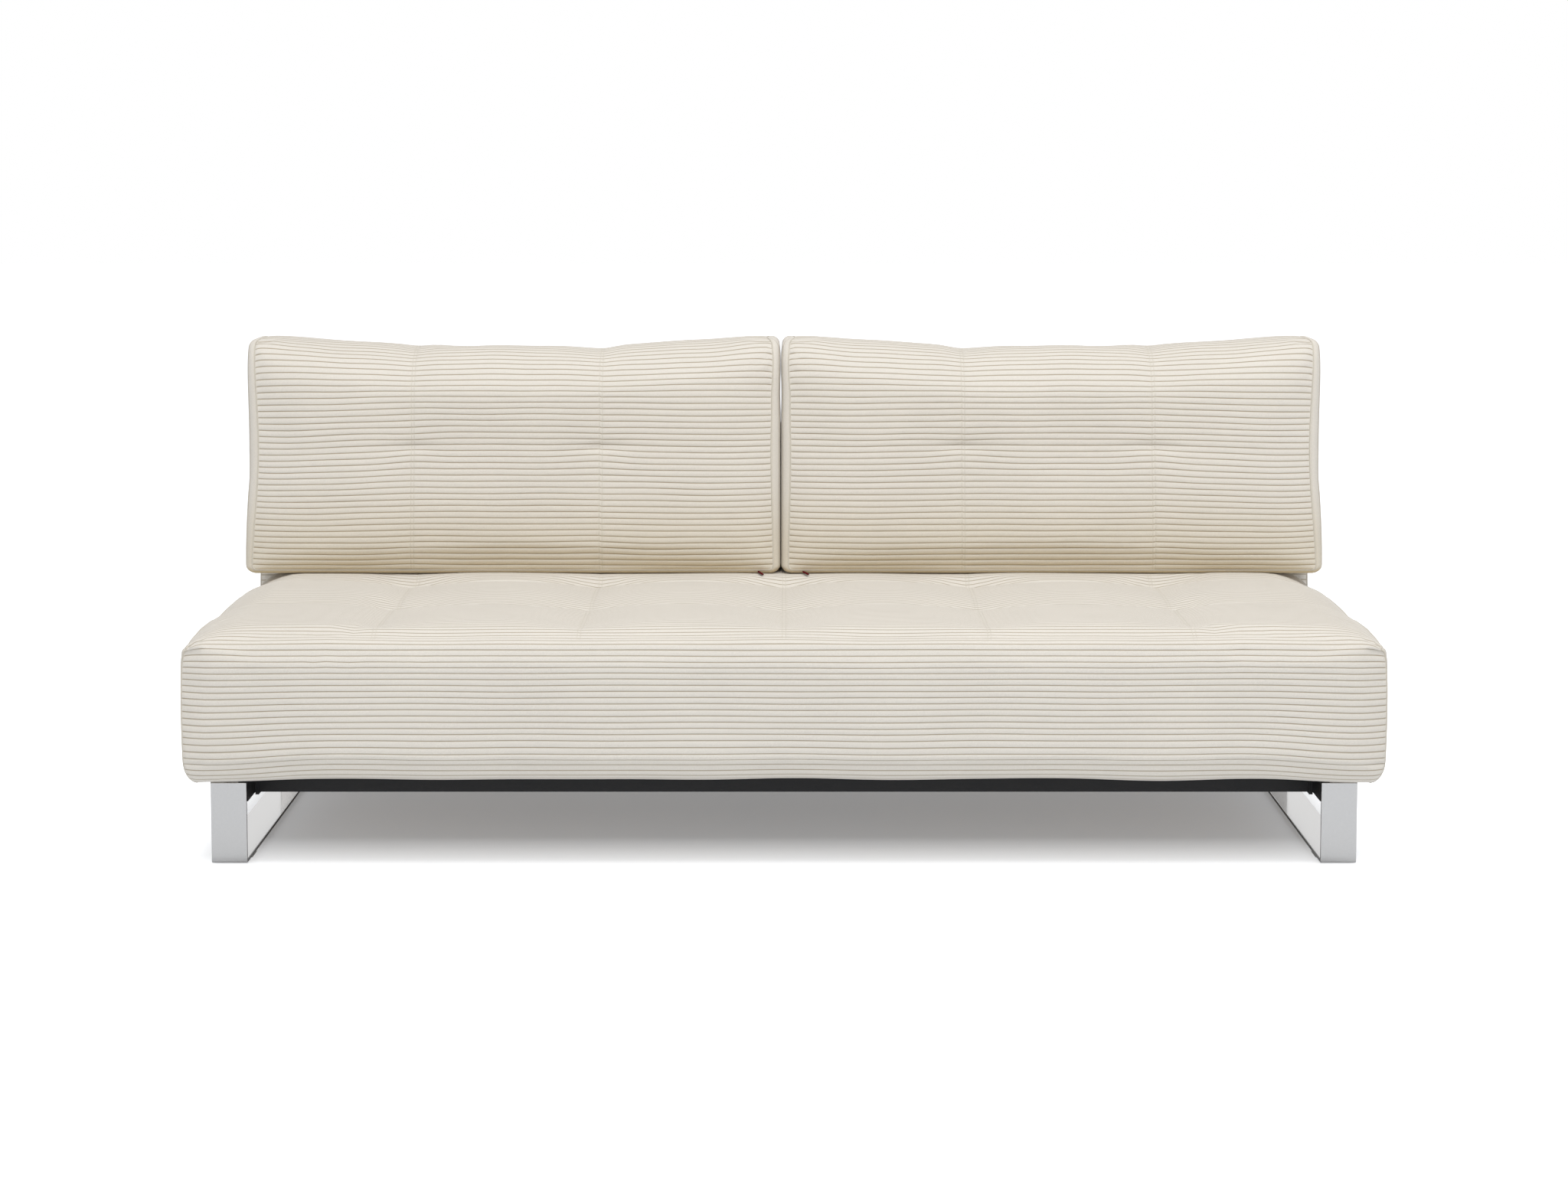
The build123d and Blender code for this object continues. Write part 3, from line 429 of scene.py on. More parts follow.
def seat_pad():
    """Seat mattress: an upright front, a fold above it, a tufted top and a rear under the cushions."""
    lower, upper, edge, fold_radius = 0.028, 0.045, 0.016, 0.012
    tuck, tuck_rise = 0.066, 0.0015
    crease, reach, crown = 0.0155, 0.036, 0.25
    fold_draw, waist_draw = 0.010, 0.003
    bottom_draw, bottom_roll = 0.026, 0.040
    end_width = 0.05
    bottom = SEAT_BOTTOM + 0.0045
    shoulder_y = np.linspace(edge, crown, 30)
    shoulder_z = SEAT_TOP - crease * np.exp(-shoulder_y / reach)
    front = rounded_path([(tuck, bottom + tuck_rise), (0.0, bottom), (0.0, SEAT_TOP - crease),
                          (shoulder_y[0], shoulder_z[0])], (lower, fold_radius))
    rear = rounded_path([(crown, SEAT_TOP), (SEAT_DEPTH, SEAT_TOP), (SEAT_DEPTH, SEAT_BOTTOM),
                         (SEAT_DEPTH - tuck, SEAT_BOTTOM + tuck_rise)], (upper, lower))
    path = np.concatenate([front[:-1], np.stack([shoulder_y, shoulder_z], -1), rear[1:]])
    shoulder = lengths_along(path)[len(front) - 1 : len(front) - 1 + len(shoulder_y)]
    face = tuck - lower + lower * pi / 2
    top = shoulder[0]
    roll = top - edge
    rear_edge = top + SEAT_DEPTH - upper
    rows = np.interp(SEAT_ROWS, np.append(shoulder_y, SEAT_DEPTH - upper),
                     np.append(shoulder, shoulder[-1] + SEAT_DEPTH - upper - crown))
    ends = (top - edge / 2, rear_edge + upper * pi / 4)

    def before_rear(v):
        return 1 - smooth_step(rear_edge, rear_edge + upper, v)

    def seam_weight(v):
        under_cushion = 0.75 * smooth_step(rows[1] + 0.02, rows[1] + 0.07, v)
        return smooth_step(top - 0.01, top + 0.13, v) * (1 - under_cushion) * before_rear(v)

    def stitched(v):
        return smooth_step(top - 0.004, top + 0.004, v) * before_rear(v)

    def droop(x, v):
        """The wales run down towards the ends, most at the bottom of the front."""
        low = smooth_step(0, face, v) * (1 - smooth_step(face, roll, v))
        return 0.005 * low * smooth_step(0.74, 0.955, np.abs(x))

    def end_drop(v):
        """Share of the end's full drop: half at the fold, most just behind it, less on the first crown."""
        past = v - ends[0]
        share = np.interp(past, (0.0, 0.06, 0.12, 0.22, 0.39), (0.5, 0.88, 0.80, 0.70, 0.80))
        return share * np.exp(np.minimum(past, 0) / 0.025) * before_rear(v)

    def settle(points, v):
        """The ends hang a little lower, and their edges draw in at the front fold and at the bottom."""
        out = np.abs(points[..., 0])
        low = np.clip((SEAT_TOP - points[..., 2]) / (SEAT_TOP - SEAT_BOTTOM), 0, 1)
        drawn = fold_draw * np.exp(-np.abs(v - ends[0]) / np.where(v < ends[0], 0.021, 0.024))
        drawn = drawn + waist_draw * (1 - np.sin(pi * low))
        drawn = drawn + bottom_draw / bottom_roll * quarter_round(points[..., 2] - bottom, bottom_roll)
        near_end = np.clip((out - SEAT_END + end_width) / end_width, 0, 1)
        at_rear = smooth_step(rows[1] - 0.05, rows[1] + 0.05, v) * smooth_step(0.93, SEAT_END, out)
        hang = (0.0012 + 0.0052 * low**2) * smooth_step(0.78, 0.955, out) + 0.010 * at_rear * (1 - low)
        settled = points.copy()
        settled[..., 0] -= np.sign(points[..., 0]) * drawn * near_end**2
        settled[..., 2] -= hang
        settled[..., 2] -= END_TOP / END_ROLL * quarter_round(SEAT_END - out, END_ROLL) * end_drop(v)
        return settled

    def place(y, z):
        return y + SEAT_FRONT, z

    fold = np.append(ends[0] + np.linspace(-0.02, 0.02, 7), np.linspace(tuck - lower, face + 0.016, 11))
    piece = sewn_pad("seat_upholstery", path, rows, (0.022, 0.014, 0.009), SEAT_END, place, seam_weight,
                     stitched, ends, fold, pinned_rows=face, cap=0.006, seed=3, steep=2.2, rolled=0.0,
                     droop=droop, settle=settle, rear=SEAT_HIGH[1] - REAR_CLEARANCE)
    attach(piece, "base")
    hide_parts("seat_cover")
    return piece


def back_pad():
    """Backrest mattress, drawn out from the fold pivot and up along the lean; its bottom clears the seat."""
    front, rear, top, sweep = -BACK_FACE, -0.0255, 0.370, 0.137
    curve, rear_curve = 0.032, 0.006
    tuft_height = 0.140
    low_front = -sqrt(sweep**2 - front**2)
    low_rear = -sqrt(sweep**2 - rear**2)
    turns = np.linspace(np.arctan2(low_rear, rear), np.arctan2(low_front, front), 16)
    bottom = np.stack([sweep * np.cos(turns), sweep * np.sin(turns)], -1)
    upper = rounded_path([(front, low_front), (front, top), (rear, top), (rear, top - 0.04)],
                         (curve, rear_curve))
    path = np.concatenate([[(rear, -0.085)], bottom, upper[1:]])
    face = lengths_along(path)[len(bottom)]
    roll = face + top - curve - low_front
    over = roll + curve * pi / 2
    rows = np.array([face + tuft_height - low_front])

    def seam_weight(v):
        return smooth_step(face - 0.03, face + 0.03, v) * (1 - smooth_step(roll, over, v))

    def place(n, u):
        y = FOLD_PIVOT[0] + n * cos(LEAN) + u * sin(LEAN)
        return y, FOLD_PIVOT[1] - n * sin(LEAN) + u * cos(LEAN)

    piece = sewn_pad("back_upholstery", path, rows, (0.014, 0.008, 0.012), BACK_END, place, seam_weight,
                     seam_weight, (face, roll + 0.02), np.array([face]), pinned_rows=0.04, cap=0.002, seed=11)
    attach(piece, "back")
    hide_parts("back_cover")
    return piece


# Loose back cushions: x from the middle of the cushion, d back from its front plane, h up from its bottom.
CUSHION_HALF = 0.48845
CUSHION_HEIGHT = 0.442
CUSHION_DEPTH = 0.215
CUSHION_MIDDLE = 0.50255
CUSHION_SHIFT = 0.006
CUSHION_GAP = 0.002
CUSHION_LIFT = 0.0004
CUSHION_FRONT = FOLD_PIVOT[0] - BACK_FACE / cos(LEAN) - CUSHION_GAP - CUSHION_DEPTH
CUSHION_SEAMS = (-0.165, 0.188)
CUSHION_TUFT_HEIGHT = 0.232
CUSHION_DROPS = (0.010, 0.004, 0.005)
CUSHION_DIMPLE = (0.04, 0.011)
CUSHION_GATHER = 0.22
CUSHION_GATHER_REACH = (0.05, 0.03)
CUSHION_UNEVENNESS = 0.0014
# Heights above the seat over which the painted shade near the cushions' bottoms fades out.
LOW_SHADE_FROM = 0.01
LOW_SHADE_TO = 0.19

# The cushions' top edge: its corners, its sag between them and its small waves.
CORNER_TOP = 0.436
CORNER_SAG = 0.0155
CORNER_FALL = 0.004
FALL_WIDTH = 0.016
SEAM_DIP = 0.002
SEAM_DIP_WIDTH = 0.03
TOP_WAVE = 0.0012

# The cushions' front and rear: where the bottom seams lie, and how far the cloth swells between the ends.
ARCH_START = 0.31
FRONT_SEAM = 0.006
REAR_SEAM = CUSHION_DEPTH - 0.006
FRONT_EDGE = 0.008
FRONT_SWELL = 0.019
REAR_EDGE = CUSHION_DEPTH - 0.010
REAR_SWELL = 0.009
SEAM_UP = 0.008
EASE_HEIGHT = 0.07
EASE_POWER = 2.2
OUTER_DROOP = 0.0130
INNER_DROOP = 0.0065

# The cushions' sides: how far their edges draw in, and how far the boxing strip bulges out.
BOTTOM_CORNER = 0.008
TOP_CORNER = 0.009
OUTER_WAIST = 0.010
INNER_WAIST_SHARE = 0.4
INNER_TOP_IN = 0.004
INNER_PUCKER = 0.0012
BOXING_BULGE = 0.0138
OUTER_BULGE = 0.0065
OUTER_NOTCH = 0.0015
INNER_BULGE = 0.004
BOXING_SQUARENESS = 2 / 4.8
BOXING_FLOOR_STEPS = 46
BOXING_CROSS_STEPS = 33
BOXING_FADE = 0.003


def cushion_place(x, d, h):
    """Cushion coordinates to the frame, for the cushion at +X: it leans as the back does."""
    z = SEAT_TOP + CUSHION_LIFT + h
    y = CUSHION_FRONT + d + (z - FOLD_PIVOT[1]) * tan(LEAN)
    return np.stack([CUSHION_MIDDLE + x, y, z], -1)


def side_in(h, outer):
    """How far the panel's edge is drawn in at a height, at the cushion's outer or inner side."""
    outer_in = OUTER_WAIST * np.sin(pi * np.clip(h / CUSHION_HEIGHT, 0, 1)) ** 2
    inner_in = INNER_TOP_IN * smooth_step(0.39, 0.445, h) + INNER_PUCKER * np.exp(-(((h - 0.33) / 0.02) ** 2))
    inner_in = inner_in + INNER_WAIST_SHARE * outer_in
    highest = CORNER_TOP - CORNER_FALL
    corners = quarter_round(h - SEAM_UP, BOTTOM_CORNER) + quarter_round(highest - h, TOP_CORNER)
    return np.where(outer, outer_in, inner_in) + corners


def cushion_top(u):
    """Height of the cushion's top edge: it sags between its corners and is drawn in at the seams."""
    near = min(abs(u * CUSHION_HALF - seam) for seam in CUSHION_SEAMS)
    dip = SEAM_DIP * np.exp(-((near / SEAM_DIP_WIDTH) ** 2))
    wave = TOP_WAVE * np.sin(19 * u + 1.3) * np.sin(7 * u) * (1 - u**4)
    fall = CORNER_FALL / FALL_WIDTH * quarter_round((1 - abs(u)) * CUSHION_HALF, FALL_WIDTH)
    return CORNER_TOP - CORNER_SAG * (1 - abs(u) ** 3.2) - fall - dip + wave


def cushion_path(u):
    """Line in d and h over the cushion from its front bottom seam over the top to its rear bottom seam."""
    full = max(1 - abs(u) ** 8, 0) ** 0.6
    squareness = 2 / (2.6 + 2.2 * abs(u) ** 5)
    front = FRONT_EDGE - FRONT_SWELL * full
    rear = REAR_EDGE + REAR_SWELL * full
    rise = np.linspace(SEAM_UP, ARCH_START, 30)
    ease = np.clip((rise - SEAM_UP) / EASE_HEIGHT, 0, 1)
    ease = np.sqrt(1 - (1 - ease) ** EASE_POWER)
    turn = np.linspace(0, pi, 80)[1:-1]
    middle = (front + rear) / 2
    half = (rear - front) / 2
    arch_d = middle - half * np.sign(np.cos(turn)) * np.abs(np.cos(turn)) ** squareness
    arch_h = ARCH_START + (cushion_top(u) - ARCH_START) * np.sin(turn) ** squareness
    front_d = FRONT_SEAM + (front - FRONT_SEAM) * ease
    rear_d = REAR_SEAM + (rear - REAR_SEAM) * ease
    d = np.concatenate([front_d, arch_d, rear_d[::-1]])
    h = np.concatenate([rise, arch_h, rise[::-1]])
    return np.stack([d, h], -1)


def crown_and_length(path):
    """Distance along a cushion's line to its highest point, and the whole length."""
    lengths = lengths_along(path)
    return lengths[int(np.argmax(path[:, 1]))], lengths[-1]


def cushion_panel_control():
    """Control points of the panel that runs up the front, over the top and down the rear."""
    u_line = closer_at_ends(-CUSHION_HALF, CUSHION_HALF, CONTROL_STEP) / CUSHION_HALF
    crown, length = crown_and_length(cushion_path(0.0))
    v_line = closer_at_ends(0.0, length, CONTROL_STEP / 3)
    up_front = np.clip(v_line / crown, 0, 1)
    up_rear = np.clip((length - v_line) / (length - crown), 0, 1)
    sections = []
    for u in u_line:
        path = cushion_path(u)
        own_crown, own_length = crown_and_length(path)
        more_front = (own_crown - crown) * smooth_step(0.55, 1.0, up_front)
        more_rear = (own_length - own_crown - length + crown) * smooth_step(0.55, 1.0, up_rear)
        droop = OUTER_DROOP if u > 0 else INNER_DROOP
        droop = droop * max((abs(u) - 0.34) / 0.66, 0) ** 1.15 * np.sin(pi * up_front) * (v_line < crown)
        on_front = v_line + more_front - droop
        on_rear = own_length - length + v_line - more_rear
        sections.append(along(path, np.where(v_line < crown, on_front, on_rear)))
    section = np.stack(sections, 1)
    u = u_line[None, :] + 0 * section[..., 0]
    x = u * CUSHION_HALF
    v = v_line[:, None] + 0 * x
    tuft_row = np.array([CUSHION_TUFT_HEIGHT])
    seams = np.array(CUSHION_SEAMS)
    on_front = 1 - smooth_step(0.46, 0.62, v)
    inside = smooth_step(0.0, 0.06, v) * smooth_step(0.0, 0.08, 1 - np.abs(u))
    level = relief(x, v, tuft_row, seams, CUSHION_DROPS, lambda value: on_front, CUSHION_DIMPLE) * on_front
    level = (level + CUSHION_UNEVENNESS * ripple(x, v, 21)) * inside
    tangent = unit(np.gradient(section, axis=0))
    outward = np.stack([-tangent[..., 1], tangent[..., 0]], -1)
    drawn = gathered(x, v, tuft_row, seams, CUSHION_GATHER, CUSHION_GATHER_REACH) * on_front * inside
    section = section + outward * level[..., None] + tangent * drawn[..., None]
    d, h = section[..., 0], section[..., 1]
    x = x - np.sign(u) * np.abs(u) ** 3 * side_in(h, u > 0)
    return cushion_place(x, d, h), v_line, u_line * CUSHION_HALF


def boxing_control():
    """Control points of the strip down the inner side, along the bottom and up the outer side."""
    path = cushion_path(1.0)
    apex = int(np.argmax(path[:, 1]))
    top = path[apex, 1]
    high = ARCH_START + (top - ARCH_START) * np.sin(np.linspace(pi / 2, 0.06, 16)) ** BOXING_SQUARENESS
    low = SEAM_UP + BOTTOM_CORNER
    middle = low + (high[-1] - low) * np.linspace(1, 0, 16)[1:] ** 1.5
    corner = SEAM_UP + BOTTOM_CORNER * (1 - np.sin(np.linspace(0, pi / 2, 9)))[1:]
    height = np.concatenate([high, middle, corner])
    front_d = np.interp(height, path[: apex + 1, 1], path[: apex + 1, 0])
    rear_d = np.interp(height, path[apex:, 1][::-1], path[apex:, 0][::-1])
    inner = np.stack([side_in(height, False) - CUSHION_HALF, front_d, rear_d, height], -1)
    outer = np.stack([CUSHION_HALF - side_in(height, True), front_d, rear_d, height], -1)[::-1]
    floor_x = np.linspace(inner[-1, 0], outer[0, 0], BOXING_FLOOR_STEPS)[1:-1]
    floor = np.stack([floor_x, *(np.full_like(floor_x, at) for at in (FRONT_SEAM, REAR_SEAM, SEAM_UP))], -1)
    line = np.concatenate([inner, floor, outer])
    waist = np.sin(pi * np.clip(line[:, 3:] / CUSHION_HEIGHT, 0, 1))
    notch = np.exp(-(((line[:, 3:] - 0.18) / 0.025) ** 2))
    outer_bulge = OUTER_BULGE * waist - OUTER_NOTCH * notch
    bulge = BOXING_BULGE + np.where(line[:, :1] > 0, outer_bulge, INNER_BULGE * waist**2)
    tangent = unit(np.gradient(line[:, [0, 3]], axis=0))
    outward = np.stack([tangent[:, 1], -tangent[:, 0]], -1)
    t = np.linspace(-1, 1, BOXING_CROSS_STEPS)
    t = np.sign(t) * (1 - (1 - np.abs(t)) ** 2)
    swell = np.maximum(1 - np.abs(t) ** 14, 0) ** 0.5
    across = ((t + 1) / 2)[None, :]
    from_tip = np.minimum(np.arange(len(line)), np.arange(len(line))[::-1])
    fade = smooth_step(1, 7, from_tip)[:, None]
    x = line[:, :1] + outward[:, :1] * bulge * fade * swell[None]
    d = line[:, 1:2] * (1 - across) + line[:, 2:3] * across
    below = np.where(outward[:, 1:] < 0, SEAM_UP, bulge)
    h = line[:, 3:] + outward[:, 1:] * below * fade * swell[None]
    return cushion_place(x, d, h)


def corded_boxing(control):
    """Fine corduroy on the boxing strip: its wales run along its length."""
    rows, columns = control.shape[:2]
    spacing = lengths_along(control[rows // 2])
    width = spacing[-1]
    lines, depth = wale_lines(width, CUSHION_WALE)
    column_places = np.interp(lines / width, spacing / width, np.arange(columns))
    row_places = np.linspace(0, rows - 1, 2 * rows)
    points = refine(control, row_places, column_places)
    fade = smooth_step(0.0, BOXING_FADE, np.minimum(lines, width - lines))
    groove = (depth * fade)[None, :] + 0 * points[..., 0]
    points = points - normals_of(points) * (SEAT_GROOVE * groove)[..., None]
    return points, {"groove": groove, "sewn": EDGE_STITCH * (1 - fade)[None, :] + 0 * groove}


def seam_cord(name, line, radius=0.0010, sides=6):
    """Thin turned-in edge that closes the seam between two panels."""
    no_seams_direction = np.array([0.31, 0.85, 0.42])
    tangent = unit(np.gradient(line, axis=0))
    aside = unit(np.cross(tangent, no_seams_direction))
    other = np.cross(tangent, aside)
    turns = np.linspace(0, 2 * pi, sides + 1)
    ring = aside[:, None] * np.cos(turns)[None, :, None] + other[:, None] * np.sin(turns)[None, :, None]
    points = line[:, None] + radius * ring
    ones = np.ones(points.shape[:2])
    return grid_piece(name, points[:, ::-1], {"groove": CORD_GROOVE * ones, "sewn": ones})


def cushion(side):
    """One loose cushion; the right-hand one mirrors the left-hand one, apart from where the gap lies."""
    name = "cushion_left_pad" if side > 0 else "cushion_right_pad"
    control, v_line, x_line = cushion_panel_control()
    pinned = np.zeros(control.shape[:2], bool)
    pinned[:, [0, -1]] = True
    pinned[[0, -1], :] = True
    control = puffed(control, pinned, 0.004)

    def on_front(v):
        return 1 - smooth_step(0.50, 0.62, v)

    def set_in_place(points):
        """The gap between the cushions lies a little to one side, so one is wider than the other."""
        from_outer = (CUSHION_MIDDLE + CUSHION_HALF - points[..., 0]) / (2 * CUSHION_HALF)
        moved = points.copy()
        moved[..., 0] = side * points[..., 0] - CUSHION_SHIFT * np.clip(from_outer, 0, 1)
        return moved

    def with_low_shade_mark(points, marks):
        """How near the cushion's bottom the cloth is, beside its other marks; it sets where painted shade
        darkens the cushion's lower part.
        """
        return marks | {"low": 1 - smooth_step(SEAT_TOP + LOW_SHADE_FROM, SEAT_TOP + LOW_SHADE_TO, points[..., 2])}

    points, marks = corded(control, v_line, CUSHION_WALE, x_line, CUSHION_SEAMS, on_front, CUSHION_GROOVE,
                           5 + side)
    boxing, boxing_marks = corded_boxing(boxing_control())
    marks = with_low_shade_mark(points, marks)
    boxing_marks = with_low_shade_mark(boxing, boxing_marks)
    turn = slice(None, None, side)
    pieces = [
        grid_piece(name, set_in_place(points)[:, turn], {k: m[:, turn] for k, m in marks.items()}),
        grid_piece(name, set_in_place(boxing)[turn], {k: m[turn] for k, m in boxing_marks.items()}),
    ]
    for edge in (control[:, 0], control[:, -1], control[0], control[-1]):
        line = along(edge, np.linspace(0, lengths_along(edge)[-1], 3 * len(edge)))
        pieces.append(seam_cord(name, set_in_place(line)[::side]))
    piece = joined(name, pieces)
    body = "left_cushion" if side > 0 else "right_cushion"
    node = "cushion_left" if side > 0 else "cushion_right"
    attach(piece, body)
    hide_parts(node + "_cover", node + "_fill")
    return piece


# Zip pulls: the Y and Z of their two ends, and the X of these on each cushion.
PULL_TOP = (0.2035, 0.4090)
PULL_TIP = (0.1830, 0.4060)
PULL_X = {1: (0.0355, 0.0453), -1: (-0.0476, -0.0393)}
PULL_THICKNESS = 0.0034
PULL_WIDTH = 0.0060


def zip_pull(side, material):
    """Folded tape that hangs from a cushion's zip, out under its front edge."""
    name = "left" if side > 0 else "right"
    first_x, last_x = PULL_X[side]
    start = np.array([first_x, *PULL_TOP])
    end = np.array([last_x, *PULL_TIP])
    share = np.linspace(0, 1, 13)
    line = start + share[:, None] * (end - start)
    tangent = unit(end - start)
    aside = unit(np.cross(tangent, np.array([0.0, 1.0, 0.0])))
    other = np.cross(tangent, aside)
    turns = np.linspace(0, 2 * pi, 17)[:, None]
    ring = (PULL_THICKNESS * np.cos(turns) * aside + PULL_WIDTH * np.sin(turns) * other) / 2
    blunt_ends = np.sqrt(1 - (2 * share - 1) ** 10)
    points = line[:, None] + blunt_ends[:, None, None] * ring
    piece = grid_piece(f"cushion_{name}_pull", points[:, ::-1])
    piece.data.materials.append(material)
    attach(piece, f"{name}_cushion")
    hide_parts(f"cushion_{name}_zip_tab")


# Materials: the helpers work on anything with a node tree.
def new_material(name, color, roughness, metallic=0.0, **sockets):
    material = bpy.data.materials.new(name)
    material.use_nodes = True
    shader = material.node_tree.nodes["Principled BSDF"]
    shader.inputs["Base Color"].default_value = (*color, 1)
    shader.inputs["Roughness"].default_value = roughness
    shader.inputs["Metallic"].default_value = metallic
    for socket, value in sockets.items():
        shader.inputs[socket.replace("_", " ")].default_value = value
    return material


def add_node(material, kind, **inputs):
    node = material.node_tree.nodes.new(kind)
    for key, value in inputs.items():
        node.inputs[key].default_value = value
    return node


def link(material, out, socket):
    material.node_tree.links.new(out, socket)


def mixed(material, factor, first, second, blend="MIX"):
    """Colour mix node; each input is a colour or another node's output."""
    node = material.node_tree.nodes.new("ShaderNodeMix")
    node.data_type = "RGBA"
    node.blend_type = blend
    for index, value in ((0, factor), (6, first), (7, second)):
        if isinstance(value, bpy.types.NodeSocket):
            link(material, value, node.inputs[index])
        else:
            node.inputs[index].default_value = value
    return node.outputs[2]


def noise_on(material, scale, detail=2.0, stretch=(1, 1, 1)):
    coordinates = material.node_tree.nodes.new("ShaderNodeTexCoord")
    mapping = add_node(material, "ShaderNodeMapping", Scale=stretch)
    noise = add_node(material, "ShaderNodeTexNoise", Scale=scale, Detail=detail)
    link(material, coordinates.outputs["Object"], mapping.inputs["Vector"])
    link(material, mapping.outputs["Vector"], noise.inputs["Vector"])
    return noise.outputs["Fac"]


def bumped(material, height, strength, distance):
    bump = add_node(material, "ShaderNodeBump", Strength=strength, Distance=distance)
    link(material, height, bump.inputs["Height"])
    link(material, bump.outputs["Normal"], material.node_tree.nodes["Principled BSDF"].inputs["Normal"])


def marked(material, name):
    node = material.node_tree.nodes.new("ShaderNodeAttribute")
    node.attribute_name = name
    return node.outputs["Fac"]


def remapped(material, value, low, high, new_low, new_high):
    node = material.node_tree.nodes.new("ShaderNodeMapRange")
    for index, number in ((1, low), (2, high), (3, new_low), (4, new_high)):
        node.inputs[index].default_value = number
    link(material, value, node.inputs[0])
    return node.outputs[0]


def calculated(material, operation, *values):
    node = material.node_tree.nodes.new("ShaderNodeMath")
    node.operation = operation
    for value, socket in zip(values, node.inputs):
        link(material, value, socket)
    return node.outputs[0]


RIB = (0.628, 0.592, 0.536, 1)
# Painted shade in the corduroy's grooves: a dark brown that stands in for the shade down between the wales.
GROOVE_SHADE = (0.305, 0.252, 0.172, 1)
STITCH = (0.450, 0.410, 0.330, 1)
# Painted shade: a warm darker tint on downward-facing cloth near the cushions' bottoms.
UNDERSIDE_SHADE = (0.96, 0.86, 0.66, 1)
# Painted shade: a fainter warm darker tint on all the cloth near the cushions' bottoms.
LOW_SHADE = (0.95, 0.92, 0.85, 1)


def corduroy():
    material = new_material("corduroy", RIB[:3], 0.95, Specular_IOR_Level=0.15, Sheen_Weight=0.10,
                            Sheen_Roughness=0.45)
    shader = material.node_tree.nodes["Principled BSDF"]
    # Painted shade: the colour darkens towards the groove shade wherever the groove mark is high.
    color = mixed(material, remapped(material, marked(material, "groove"), 0.15, 1.0, 0.0, 1.0), RIB, GROOVE_SHADE)
    color = mixed(material, remapped(material, marked(material, "sewn"), 0.0, 1.0, 0.0, 0.5), color, STITCH)
    geometry = material.node_tree.nodes.new("ShaderNodeNewGeometry")
    parts = material.node_tree.nodes.new("ShaderNodeSeparateXYZ")
    link(material, geometry.outputs["Normal"], parts.inputs[0])
    low = marked(material, "low")
    # Painted shade: downward-facing cloth near the cushions' bottoms is multiplied by the underside shade
    # tint.
    downward = remapped(material, parts.outputs["Z"], 0.02, -0.7, 0.0, 1.0)
    under = calculated(material, "MULTIPLY", downward, low)
    color = mixed(material, under, color, mixed(material, 1.0, color, UNDERSIDE_SHADE, "MULTIPLY"))
    # Painted shade: all cloth near the cushions' bottoms is multiplied by the low shade tint.
    color = mixed(material, low, color, mixed(material, 1.0, color, LOW_SHADE, "MULTIPLY"))
    nap = remapped(material, noise_on(material, 7.0, 3.0), 0.3, 0.7, 0.985, 1.012)
    fuzz_noise = noise_on(material, 950.0, 2.0)
    fuzz = remapped(material, fuzz_noise, 0.3, 0.7, 0.93, 1.06)
    color = mixed(material, 1.0, color, nap, "MULTIPLY")
    color = mixed(material, 1.0, color, fuzz, "MULTIPLY")
    link(material, color, shader.inputs["Base Color"])
    bumped(material, fuzz_noise, 0.25, 0.0006)
    return material


def plain(name, color, roughness, metallic, scale, spread, bump, **sockets):
    """Even material whose colour and surface vary a little."""
    material = new_material(name, color, roughness, metallic, **sockets)
    shader = material.node_tree.nodes["Principled BSDF"]
    noise = noise_on(material, scale, 3.0)
    shade = remapped(material, noise, 0.3, 0.7, 1 - spread, 1 + spread)
    link(material, mixed(material, 1.0, (*color, 1), shade, "MULTIPLY"), shader.inputs["Base Color"])
    if bump:
        bumped(material, noise, bump, 0.0004)
    return material


def beech():
    material = new_material("beech", (0.62, 0.43, 0.24), 0.45, Specular_IOR_Level=0.4)
    shader = material.node_tree.nodes["Principled BSDF"]
    grain = noise_on(material, 60.0, 5.0, (1.0, 0.04, 1.0))
    color = mixed(material, grain, (0.70, 0.50, 0.29, 1), (0.52, 0.34, 0.18, 1))
    link(material, color, shader.inputs["Base Color"])
    bumped(material, grain, 0.08, 0.0005)
    return material


